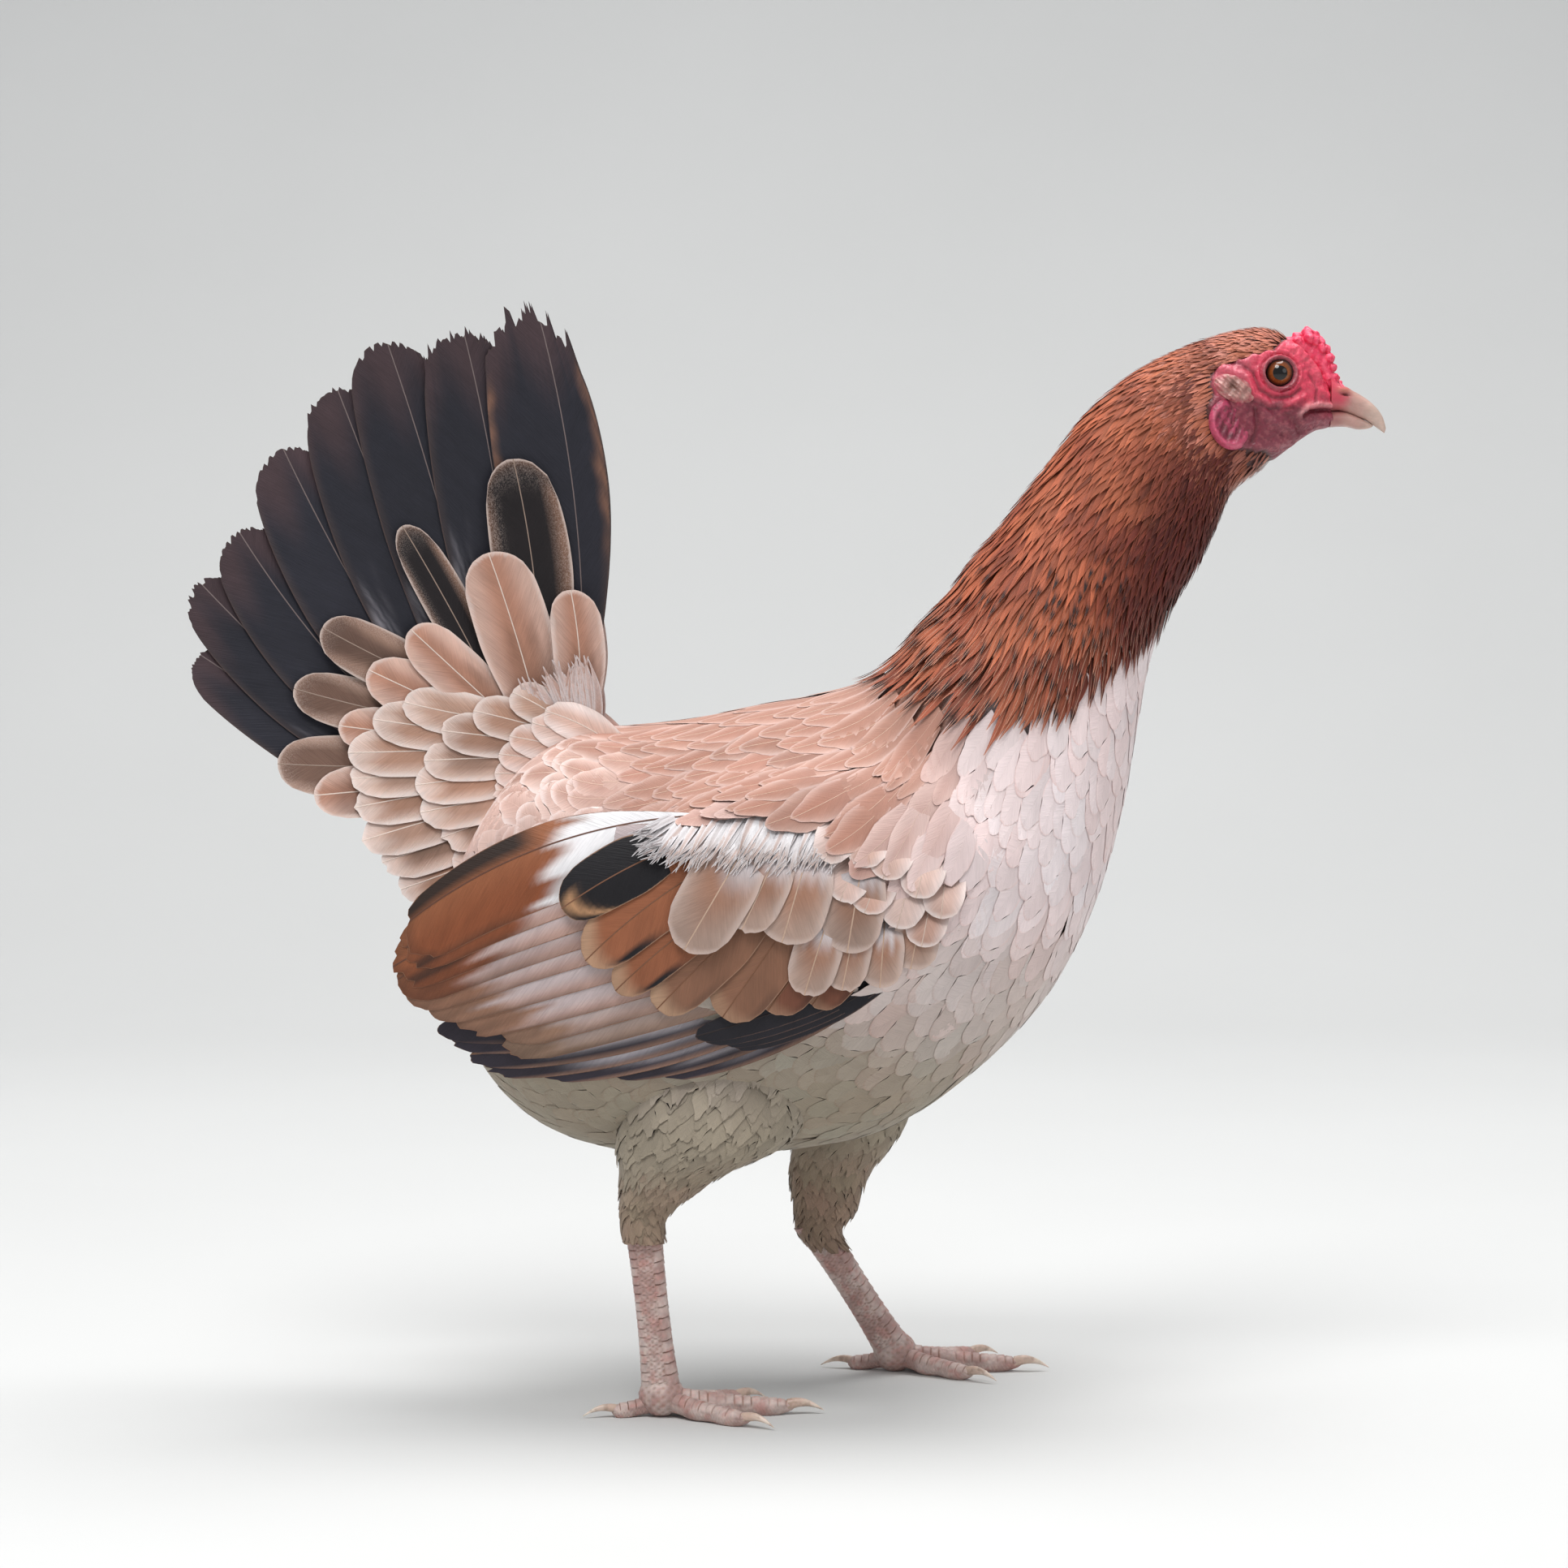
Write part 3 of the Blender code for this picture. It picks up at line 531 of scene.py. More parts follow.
class Finish:
    """A material under construction, with one Principled shader."""

    def __init__(self, name, **settings):
        self.material = bpy.data.materials.new(name)
        self.material.use_nodes = True
        self.tree = self.material.node_tree
        self.shader = self.tree.nodes["Principled BSDF"]
        for key, value in settings.items():
            self.shader.inputs[key.replace("_", " ").title()].default_value = value

    def node(self, kind, settings=None, inputs=None, output=0):
        """Adds a node: its settings first, then the values or links of its sockets."""
        made = self.tree.nodes.new(kind)
        for key, value in (settings or {}).items():
            setattr(made, key, value)
        for key, value in (inputs or {}).items():
            self.feed(made.inputs[key], value)
        return Wire(self, made.outputs[output])

    def feed(self, socket, value):
        """Links a wire to a socket, or sets the socket's own value."""
        if isinstance(value, Wire):
            self.tree.links.new(value.socket, socket)
        elif isinstance(value, (tuple, list)) and len(value) == 3 and socket.type == "RGBA":
            socket.default_value = (*value, 1)
        else:
            socket.default_value = value

    def set(self, **inputs):
        """Feeds the shader's sockets, named in lower case with underscores."""
        for key, value in inputs.items():
            self.feed(self.shader.inputs[key.replace("_", " ").title()], value)

    def mix(self, share, low, high, how="MIX"):
        """A colour between two, or laid over one another by a blend mode."""
        settings = {"data_type": "RGBA", "blend_type": how}
        return self.node("ShaderNodeMix", settings, {0: share, 6: low, 7: high}, output=2)

    def position(self):
        """The place on the object, in metres."""
        return self.node("ShaderNodeTexCoord", output="Object")

    def attribute(self, name, output=0):
        """A value that the mesh carries at its points."""
        return self.node("ShaderNodeAttribute", {"attribute_name": name}, output=output)

    def parts(self, vector):
        """The three numbers of a vector."""
        made = self.node("ShaderNodeSeparateXYZ", inputs={0: vector})
        outputs = made.socket.node.outputs
        return [Wire(self, outputs[k]) for k in range(3)]

    def join(self, x, y, z=0.0):
        """A vector of three numbers."""
        return self.node("ShaderNodeCombineXYZ", inputs={0: x, 1: y, 2: z})

    def noise(self, vector, scale, detail=3.0, rough=0.5):
        """Cloudy noise from 0 to 1."""
        inputs = {"Vector": vector, "Scale": scale, "Detail": detail, "Roughness": rough}
        return self.node("ShaderNodeTexNoise", inputs=inputs)

    def cells(self, vector, scale):
        """The way to the middle of the nearest cell."""
        return self.node("ShaderNodeTexVoronoi", inputs={"Vector": vector, "Scale": scale})

    def lit(self, colour, light):
        """A colour made lighter or darker by a factor."""
        return self.mix(1.0, colour, self.join(light, light, light), "MULTIPLY")

    def bump(self, height, strength, distance):
        """Raises the shading by a height from 0 to 1 over a distance in metres."""
        inputs = {"Height": height, "Strength": strength, "Distance": distance}
        self.set(normal=self.node("ShaderNodeBump", inputs=inputs))
        return self.material


# Feather finishes: the barbs' angle in radians, strands in a mm, roughness, contrast and sheen.
FEATHER_FINISHES = {
    "body_feather": (0.75, 2.6, 0.7, 0.30, 0.12),
    "hackle_feather": (0.32, 3.2, 0.55, 0.75, 0.0),
    "wing_and_tail_feather": (0.62, 1.9, 0.55, 0.50, 0.0),
}
LOW_GLOSS = 0.25


def feather_finish(name):
    """Feather: the mesh's own tint with a rim, a shaft and flecks as wide as it says, and fine
    barbs that leave the shaft at an angle. The barb's own number is along times the sine of the
    angle less the way from the shaft times its cosine, so noise on it makes strands."""
    barb_angle, barbs, roughness, contrast, sheen = FEATHER_FINISHES[name]
    made = Finish(name, roughness=roughness, sheen_weight=sheen, sheen_roughness=0.5)
    made.shader.inputs["Specular IOR Level"].default_value = LOW_GLOSS
    place = made.node("ShaderNodeUVMap", {"uv_map": "vane"})
    across, along, _ = made.parts(place)
    across, along = across * VANE_UNIT, along * VANE_UNIT
    away = abs(across)
    tint = made.attribute("tint")
    own = made.attribute("tint", "Alpha") * 61.7
    rim_width, shaft_width, fleck = made.parts(made.attribute("look", "Vector"))
    margin = made.attribute("margin", "Fac")
    number = along * math.sin(barb_angle) - away * math.cos(barb_angle)
    along_barb = along * math.cos(barb_angle) + away * math.sin(barb_angle)
    side = across.step(-0.1, 0.1) * 7.3
    strands = made.noise(made.join(number * barbs, along_barb * 0.09 + side, own), 1.0, 3.0, 0.65)
    clouds = made.noise(made.join(number * 0.16, along_barb * 0.06, own + side), 1.0, 2.0, 0.5)
    wobble = (strands - 0.5) * 1.6 + (clouds - 0.5) * 1.2
    edge = 1 - ((margin + wobble * rim_width) / rim_width.most(0.05)).step(0.0, 1.3)
    peppered = made.noise(made.join(across * 3.1, along * 2.0, own + 3.1), 1.0, 3.0, 0.7)
    flecks = peppered.step(0.45, 0.60) * fleck
    colour = made.mix(flecks, tint, made.attribute("rim"))
    colour = made.mix(edge, colour, made.attribute("rim"))
    shaft = 1 - (away / shaft_width.most(0.02)).step(0.45, 1.1)
    shown = shaft_width.step(0.02, 0.1)
    colour = made.mix(shaft * shown, colour, made.attribute("shaft"))
    light = (strands - 0.5) * contrast + (clouds - 0.5) * contrast * 0.9 + 1
    made.set(base_color=made.lit(colour, light), roughness=(strands - 0.5) * 0.25 + roughness)
    height = strands + shaft * 2.2 * shown + clouds * 0.6
    return made.bump(height, 0.45, 0.0005)


# Markings, shared by the skin and the feathers that grow from it

BLACK = (0.010, 0.009, 0.011)
SLATE = (0.022, 0.020, 0.028)
PALE_SHAFT = (0.86, 0.74, 0.66)


def chosen(name):
    """A colour as the user set it in the panel."""
    return tuple(getattr(bpy.context.scene.hen_colours, name))


def body_colour(points):
    """Cream and pink on the breast, salmon over the back and shoulders, and a darker cream below
    that is painted shade: soft steps of height and of the way forward, broken up by noise."""
    x, z = points[..., 0], points[..., 2]
    drift = wave_noise(points, 60, 3) * 14
    rear = smooth(-x, 45, 75)
    back = smooth(z + drift + 34 * rear, 214, 244) * (1 - smooth(x + drift, 30, 72))
    flank = smooth(z, 165, 220) * (1 - smooth(np.abs(x - 8) + drift, 42, 80)) * 0.45
    low = 1 - smooth(z + drift * 0.8, 118, 222)
    colour = tone(chosen("breast"), chosen("breast_pink"), 0.5 + 0.5 * wave_noise(points, 35, 5))
    # Painted shade: the cream turns darker towards the belly.
    colour = tone(colour, chosen("belly"), low * 0.95)
    colour = tone(colour, chosen("back"), np.clip(back * 0.95 + flank, 0, 0.95))
    rump = smooth(-x + drift, 24, 66) * back
    return tone(colour, (0.78, 0.56, 0.495), rump * 0.85)


def neck_colour(points):
    """Rust red, darker towards the throat and brighter up the nape."""
    x, z = points[..., 0], points[..., 2]
    front = smooth(x - (z - 240) * 0.42, 78, 112)
    drift = wave_noise(points, 26, 9)
    bright = np.clip(0.35 + 0.7 * drift + smooth(z, 330, 400) * 0.3, 0, 1)
    colour = tone(chosen("neck"), chosen("nape"), bright)
    colour = tone(colour, (0.17, 0.052, 0.034), smooth(-z, -310, -255) * 0.7)
    return tone(colour, chosen("throat"), np.clip(front * 0.95 + 0.3 * np.clip(-drift, 0, 1), 0, 0.96))


# The dressed body: the trunk with the wings' shoulders worked in

# In mm and side view: the middle of the dome between the wings and its height, the middle, half
# lengths and tilt of the pad that each wing lies on, its depth and how far it stands out, how far
# the two blend, and how deep a wing feather's root lies under the skin.
SHIELD_MIDDLE, SHIELD_PEAK = (22, 192), 74
PAD_MIDDLE, PAD_HALVES, PAD_TILT = (8, 198), (70, 42), math.radians(16)
PAD_THICKNESS, PAD_RISE, PAD_BLEND, ROOT_DEPTH = 8, 3.5, 5.0, 1.6


def shield(x, z):
    """Half the way between the wings: a shallow dome over a place in side view."""
    dx, dz = x - SHIELD_MIDDLE[0], z - SHIELD_MIDDLE[1]
    return SHIELD_PEAK - dx * dx / 1150 - dz * dz / np.where(dz > 0, 210, 420)


def pad_share(x, z):
    """How far out a place in side view lies on the wing's pad: 0 in its middle, 1 at its edge."""
    dx, dz = x - PAD_MIDDLE[0], z - PAD_MIDDLE[1]
    c, s = math.cos(PAD_TILT), math.sin(PAD_TILT)
    return np.hypot((dx * c + dz * s) / PAD_HALVES[0], (dz * c - dx * s) / PAD_HALVES[1])


def pad_face(x, z):
    """The pad's outer face: the shield plus a flat dome that falls away past its edge."""
    share = pad_share(x, z)
    dome = np.sqrt(np.clip(1 - share**2, 0, 1))
    fall = np.clip(share - 1, 0, None) * 60
    return shield(x, z) + PAD_RISE - PAD_THICKNESS * (1 - dome) - fall


def dressed(t, angle):
    """The body pushed out to the wings' pads, by a soft maximum of the two."""
    points = body(t, angle)
    y = points[..., 1]
    pad = pad_face(points[..., 0], points[..., 2])
    out = PAD_BLEND * np.logaddexp(np.abs(y) / PAD_BLEND, np.clip(pad, -50, None) / PAD_BLEND)
    beyond = smooth(pad_share(points[..., 0], points[..., 2]), 1.0, 1.35)
    share = smooth(np.abs(y), 12, 34) * (1 - beyond)
    points[..., 1] = np.sign(y) * (np.abs(y) + (out - np.abs(y)) * share)
    return points


def leaf(x, z):
    """Half the way between the tail's two leaves: close at the ridge, wide below."""
    dx, dz = x + 97, z - 238
    angle = np.degrees(np.arctan2(dz, dx)) % 360
    opened = np.clip((angle - 92) / 100, 0, 1.1)
    return 6 + np.hypot(dx, dz) * (0.02 + 0.34 * opened)


# Skin


# The bare face's edge: turn in degrees round a place behind the eye, and the way out to it in mm.
BARE_MIDDLE = (185, 385.5)
BARE_EDGE = (
    (-95, 24), (-75, 32), (-45, 60), (50, 60), (69, 21), (90, 14.6), (115, 14.6), (138, 16.5),
    (159, 23), (168, 24.5), (185, 23), (193, 26), (215, 27.5), (236, 27), (248, 24.8), (265, 24),
)


def bare(points):
    """1 where the face is bare: inside an edge whose way out follows the turn, frayed by noise."""
    dx, dz = points[..., 0] - BARE_MIDDLE[0], points[..., 2] - BARE_MIDDLE[1]
    turn = (np.degrees(np.arctan2(dz, dx)) + 95) % 360 - 95
    edge = np.interp(turn, *np.array(BARE_EDGE).T) + wave_noise(points, 4.5, 33, 2) * 0.9
    return 1 - smooth(np.hypot(dx, dz) / edge, 0.93, 1.05)


def ridge(points, line, width, height):
    """A raised fold along a line in side view: height times a bell of the way to the line."""
    place = points[..., (0, 2)] - np.array((EYE[0], EYE[2]))
    nearest = np.full(place.shape[:-1], 1e9)
    for a, b in zip(np.array(line[:-1], float), np.array(line[1:], float)):
        run = b - a
        share = np.clip(((place - a) @ run) / (run @ run), 0, 1)
        nearest = np.minimum(nearest, np.linalg.norm(place - a - share[..., None] * run, axis=-1))
    return height * bell(nearest, width)


# Folds of the face: a line in mm from the eye's middle, the fold's width and its height.
FOLDS = (
    (((-13, 4.5), (-7, 8.2), (0, 9.9), (7, 9.2), (12, 5.5), (15.5, 0)), 2.0, 1.5),
    (((14, 7), (19, 2), (23, -2.5), (26, -5)), 1.6, 1.1),
    (((-10, -1), (-8, -6.4), (-3, -9.4), (4, -9.0), (8, -6)), 0.75, -0.75),
    (((-12.4, -2), (-10, -8.2), (-4, -11.6), (4, -11.2), (10, -8.4)), 0.8, 0.9),
    (((-13, -5), (-11, -10.4), (-4, -13.8), (5, -13.0)), 0.6, -0.6),
    (((9.5, -16), (12, -14.4), (19, -13.8), (29, -15.4)), 0.75, -1.7),
    (((8.3, -15.4), (11, -12.6), (16, -11.6), (27, -12.4)), 1.1, 1.2),
    (((10, -18.4), (16, -16.6), (24, -17.6)), 1.3, 0.9),
    (((-14, -27.5), (-5, -27.6), (6, -25.5), (18, -20.8)), 1.8, 0.9),
    (((-9.5, -14), (-8.6, -20), (-10.5, -26)), 1.0, -1.1),
    (((-6, -15), (-2, -19), (5, -21)), 1.5, 0.7),
    (((2, -15), (6, -18), (8, -22)), 1.1, -0.5),
    (((-25, 1.5), (-20, 1.2), (-13, -1.5)), 1.4, 1.0),
    (((-22, 5), (-15, 3.5), (-10, 0)), 0.7, -0.6),
    (((13.5, -5), (18, -7.5), (22, -8.5)), 1.2, 0.6),
    (((12, -1), (14.5, -6), (14, -10.5)), 0.7, -0.6),
)


def face_relief(points):
    """Heights of the face over its smooth form: folds, the lids as two rolls round the eye, the
    sunk socket that the ball fills, and fine pebbling."""
    dx, dz = points[..., 0] - EYE[0], points[..., 2] - EYE[2]
    r = np.hypot(dx, dz / 0.96)
    height = sum(ridge(points, *fold) for fold in FOLDS)
    height += 1.15 * bell(r - 6.35, 0.7) + 0.55 * bell(r - 8.3, 0.55) - 0.55 * bell(r - 7.35, 0.4)
    height += 0.22 * wave_noise(points, 2.2, 4, 2) + 0.4 * wave_noise(points, 7, 8, 2)
    side = smooth(np.abs(points[..., 1]), 2.5, 8)
    height = height * side * bare(points)
    return height - 5.2 * (1 - smooth(r, 4.2, 5.8)) * side


def face_colour(points):
    """Bright pink red above and before the eye, wine red and mottled over the cheek, with painted
    shade in the creases and painted highlight on the folds, a grey ring on the lids, and painted
    shade, nearly black, in the sunk socket round the eyeball."""
    dx, dz = points[..., 0] - EYE[0], points[..., 2] - EYE[2]
    r = np.hypot(dx, dz / 0.96)
    low = smooth(-dz - dx * 0.10 + wave_noise(points, 8, 21) * 3, 6, 15)
    colour = tone(chosen("face"), (0.150, 0.017, 0.034), low * 0.94)
    behind = smooth(-dx + dz * 0.3 + wave_noise(points, 5, 22), 8, 16)
    colour = tone(colour, (0.50, 0.10, 0.14), behind * (1 - low) * 0.6)
    mottle = smooth(wave_noise(points, 2.6, 31), 0.05, 0.5)
    colour = tone(colour, (0.55, 0.17, 0.18), mottle * (0.25 + 0.12 * low) * 0.6)
    lips = ridge(points, ((8.3, -15.4), (11, -12.6), (16, -11.8), (27, -12.6)), 1.3, 1)
    colour = tone(colour, (0.55, 0.24, 0.24), lips * 0.55)
    # Painted shade darkens the creases and a painted highlight pales the folds.
    creases = sum(np.clip(-ridge(points, *fold), 0, 1) for fold in FOLDS)
    rolls = sum(np.clip(ridge(points, *fold), 0, 1) for fold in FOLDS)
    colour = tone(colour, (0.12, 0.012, 0.022), np.clip(creases * 0.9, 0, 0.8))
    colour = tone(colour, np.clip(colour * 1.25 + 0.04, 0, 0.9), np.clip(rolls * 0.5, 0, 0.6))
    colour = tone(colour, (0.22, 0.075, 0.085), bell(r - 6.1, 0.95) * 0.85)
    # Painted shade: nearly black in the sunk socket round the eyeball.
    return tone(colour, (0.02, 0.008, 0.008), (1 - smooth(r, 4.9, 5.6)) * 0.97)


def make_skin():
    """One skin over trunk, neck, head and thighs: the dressed body moved in by the coat's depth,
    full on the bare face, with the face's relief along its normal."""
    gathered = Mesh()
    face_rows = np.linspace(FACE_START + 0.03, BODY_END, 180)
    t = np.concatenate((np.linspace(0.02, FACE_START, 140), face_rows))
    angle = np.linspace(0, 2 * np.pi, 260, endpoint=False)
    t, angle = np.meshgrid(t, angle, indexing="ij")
    points = dressed(t, angle)
    normal = outward(dressed, t, angle, 0.01)
    naked = bare(points)
    depth = (1 - naked) * (COAT_DEPTH - 1.7 * smooth(t, 14, 18)) + 1.5 * smooth(2.5 - t, 0, 2)
    points = points + normal * (face_relief(points) - depth)[..., None]
    neck = smooth(t, 9, 12)
    colour = tone(body_colour(points), neck_colour(points) * 0.6, neck) * 0.85
    colour = colour * (1 - naked[..., None]) + face_colour(points) * naked[..., None]
    gathered.tube(points, tint=rgba(colour))
    for side, _ in SIDES:
        surface = thigh(side)
        t, angle = cross_grid(60, 80, 0, THIGH_RUN)
        points = surface(t, angle) - outward(surface, t, angle) * THIGH_COAT_DEPTH
        gathered.tube(points, tint=rgba(body_colour(points) * 0.75))
    nodes = ("torso", "neck", "head", "thigh_right", "thigh_left")
    return gathered.build("skin", once("bare_skin", skin_finish), "face_skin", nodes)


def skin_finish(name):
    """Bare skin: the mesh's tint, pebbled by small cells and creased by stretched noise."""
    made = Finish(name, roughness=0.42, subsurface_weight=0.12, subsurface_scale=0.002)
    made.shader.inputs["Subsurface Radius"].default_value = (1.0, 0.3, 0.2)
    place = made.position()
    pebbles = made.cells(place, 900.0)
    creases = made.noise(place, 420.0, 5.0, 0.62)
    broad = made.noise(place, 95.0, 3.0)
    light = (pebbles - 0.5) * 0.18 + (creases - 0.5) * 0.55 + (broad - 0.5) * 0.5 + 1.02
    colour = made.lit(made.attribute("tint"), light)
    pale = creases.step(0.58, 0.76) * 0.10
    colour = made.mix(pale, colour, (0.78, 0.45, 0.42))
    made.set(base_color=colour, roughness=(creases - 0.5) * 0.5 + 0.46)
    return made.bump(pebbles * 0.7 + creases, 0.5, 0.0005)


# Coats laid on the body

# The bake map's empty border and the size of a small feather's patch, as shares of its width, and
# how much of its tile a big feather fills.
MAP_BORDER, PATCH_SIZE, TILE_SHARE = 0.02, 0.003, 0.9
BIG_THICKNESS = 0.3
# The stations of a thigh that carry feathers, counted up from the hock.
THIGH_RUN = 4


def bake_patch(t, angle, span):
    """Each feather's small patch at its root's place on the surface's own unwrap: the way along it
    by the turn round it."""
    along, round_it = np.asarray(t) / span, angle / (2 * np.pi) % 1
    return MAP_BORDER + (1 - 2 * MAP_BORDER) * np.stack((along, round_it), -1), PATCH_SIZE


def coat(into, surface, roots, blades, look, span=BODY_END, first=0, thickness=0.12, **shape):
    """Lays one coat, look holding its colours and mark widths and shape what lay needs. On the
    bake map its stations start at first, and the map is as wide as span stations."""
    t, angle = roots[:, 0], roots[:, 1]
    points = lay(surface, t, angle, blades, **shape)
    patch, outer = bake_patch(first + t, angle, span), outward(surface, t, angle)
    vanes(into, points, *blades, shape["half"], shape["length"], thickness, patch, outer, **look)


def varied(colour, draw, amount):
    """Colours each made a little lighter or darker."""
    return np.clip(colour * (1 + draw.normal(0, amount, (len(colour), 1))), 0, 0.9)


def looks_of(draw, tint, rim, shaft, widths):
    """The values that a feather carries: tint (with its own random number as alpha), rim and shaft
    colours, and the widths in mm of rim and shaft with the share of flecks."""
    own = draw.random((len(tint), 1, 1, 1))
    return {"tint": rgba(tint, own), "rim": rgba(rim), "shaft": rgba(shaft), "look": widths}


def on_side(roots, side):
    """Which roots grow on a side of the body."""
    return np.sign(np.mod(roots[:, 1] + np.pi, 2 * np.pi) - np.pi) == side


def hackle_edge(angle):
    """Where the hackle ends on the body, in stations: low on the back, high on the throat."""
    back = 0.5 + 0.5 * np.cos(angle)
    return 13.2 + (7.0 - 13.2) * back**1.25


def make_body_coat(width):
    """Scalloped feathers in staggered rows from under the hackle to the rump, rounder and paler on
    the breast, longer and narrower on the back."""
    wide = width / MM
    rows, columns = 8, 9
    roots, draw = rows_of(dressed, lambda a: hackle_edge(a) + 0.55, 0.25, wide * 0.78, wide * 0.98, 11)
    x, y, z = dressed(roots[:, 0], roots[:, 1]).T
    covered = np.interp(x, (-62, -42, -32, 14, 34, 48, 60), (194, 208, 231, 235, 235, 224, 200))
    lowest = np.interp(x, (-60, 20, 56), (156, 159, 178))
    under_wing = (np.abs(y) > 34) & (z < covered) & (x < 55) & (z > lowest) & (x > -62)
    thinned = (draw.random(len(roots)) < 0.42) & (x < -56) & (z > 190)
    roots = roots[~under_wing & ~thinned & (roots[:, 0] > 0.6)]
    made = []
    for side, end in SIDES:
        mine = roots[on_side(roots, side)]
        here = dressed(mine[:, 0], mine[:, 1])
        x, y, z = here.T
        number = len(mine)
        back = smooth(z, 205, 245) * (1 - smooth(x, 45, 80))
        low = 1 - smooth(z, 110, 170)
        rump = smooth(-x, 26, 60) * smooth(z, 185, 215)
        shoulder = smooth(x, 4, 24) * (1 - smooth(x, 56, 80))
        broad = 0.22 * shoulder * smooth(z, 212, 222) * (1 - smooth(z, 244, 262))
        half = wide * (0.66 - 0.04 * back - 0.08 * low + 0.26 * rump + broad)
        half = half * draw.uniform(0.9, 1.1, number)
        length = wide * (2.4 + 0.7 * back + 0.3 * low) * draw.uniform(0.93, 1.08, number)
        pull = draw.normal(0, 0.09, number)
        over_wing = smooth(x, -62, -30) * (1 - smooth(x, 66, 92)) * smooth(z, 196, 214)
        sag = side * over_wing * (0.12 + 0.50 * (1 - smooth(z, 222, 258)))
        spread = draw.normal(0, 0.035, (number, 1))
        warm = draw.normal(0, 0.022, (number, 1)) * np.array((0.0, 1.0, 1.2))
        colour = np.clip(body_colour(here) * (1 + spread - warm), 0, 0.92)
        colour = tone(colour, (0.22, 0.12, 0.09), (draw.random(number) < 0.10) * back * 0.35)
        narrow = back * (1 - 0.8 * rump)
        outline = (0.45, 0.60, each(0.80 - 0.30 * narrow), each(0.34 - 0.10 * narrow), 0.035)
        blades = blade(rows, columns, *outline, draw, number)
        v, s = shares(rows, columns)
        s = np.abs(s)
        tint = each(colour) * (0.92 + 0.08 * smooth(v + 0 * s, 0.3, 0.9))[..., None]
        deep = (1 - smooth(s, 0.0, 0.8)) * smooth(v, 0.3, 0.6) * (1 - smooth(v, 0.8, 1.0))
        deep = deep * each((0.5 * back + 0.3 * rump) * draw.uniform(0.2, 1.0, number))
        tint = tone(tint, (0.36, 0.155, 0.10), deep)
        tint = tone(tint, (0.80, 0.60, 0.53), smooth(s + 0.9 * v, 0.9, 1.8) * each(0.45 * back + 0.45 * rump))
        rim = tone(colour * (0.97, 0.90, 0.88), (0.88, 0.73, 0.69), np.maximum(back * 0.35, rump * 0.9))
        shaft = tone(colour, (0.74, 0.52, 0.40), 0.10 + 0.50 * back)
        widths = np.stack((0.8 + 0.5 * back + 1.5 * rump, 0.05 + 0.17 * back, 0.05 + 0 * back), -1)
        on_pad = smooth(z, 160, 184) * (1 - smooth(z, 236, 250)) * (1 - smooth(pad_share(x, z), 0.95, 1.2))
        on_pad = on_pad * np.maximum(1 - smooth(x, 38, 52), smooth(z, 222, 232))
        lift = (2.6 + 0.9 * smooth(x, 24, 46)) * on_pad
        high = 0.05 + 0.10 * draw.random(number) + lift
        gathered = Mesh()
        coat(
            gathered, dressed, mine, blades, looks_of(draw, tint, each(rim), each(shaft), each(widths)),
            half=half, length=length, turn=pull + sag, low=-0.5 - 0.35 * on_pad, high=high,
            camber=0.010, bend=0.8 + 0.5 * on_pad,
        )
        finish = once("body_feather", feather_finish)
        made.append(gathered.build(f"body_feathers_{end}", finish, "body_plumage"))
    return made


def once(name, build):
    """The material of that name, made the first time that it is asked for."""
    return bpy.data.materials.get(name) or build(name)


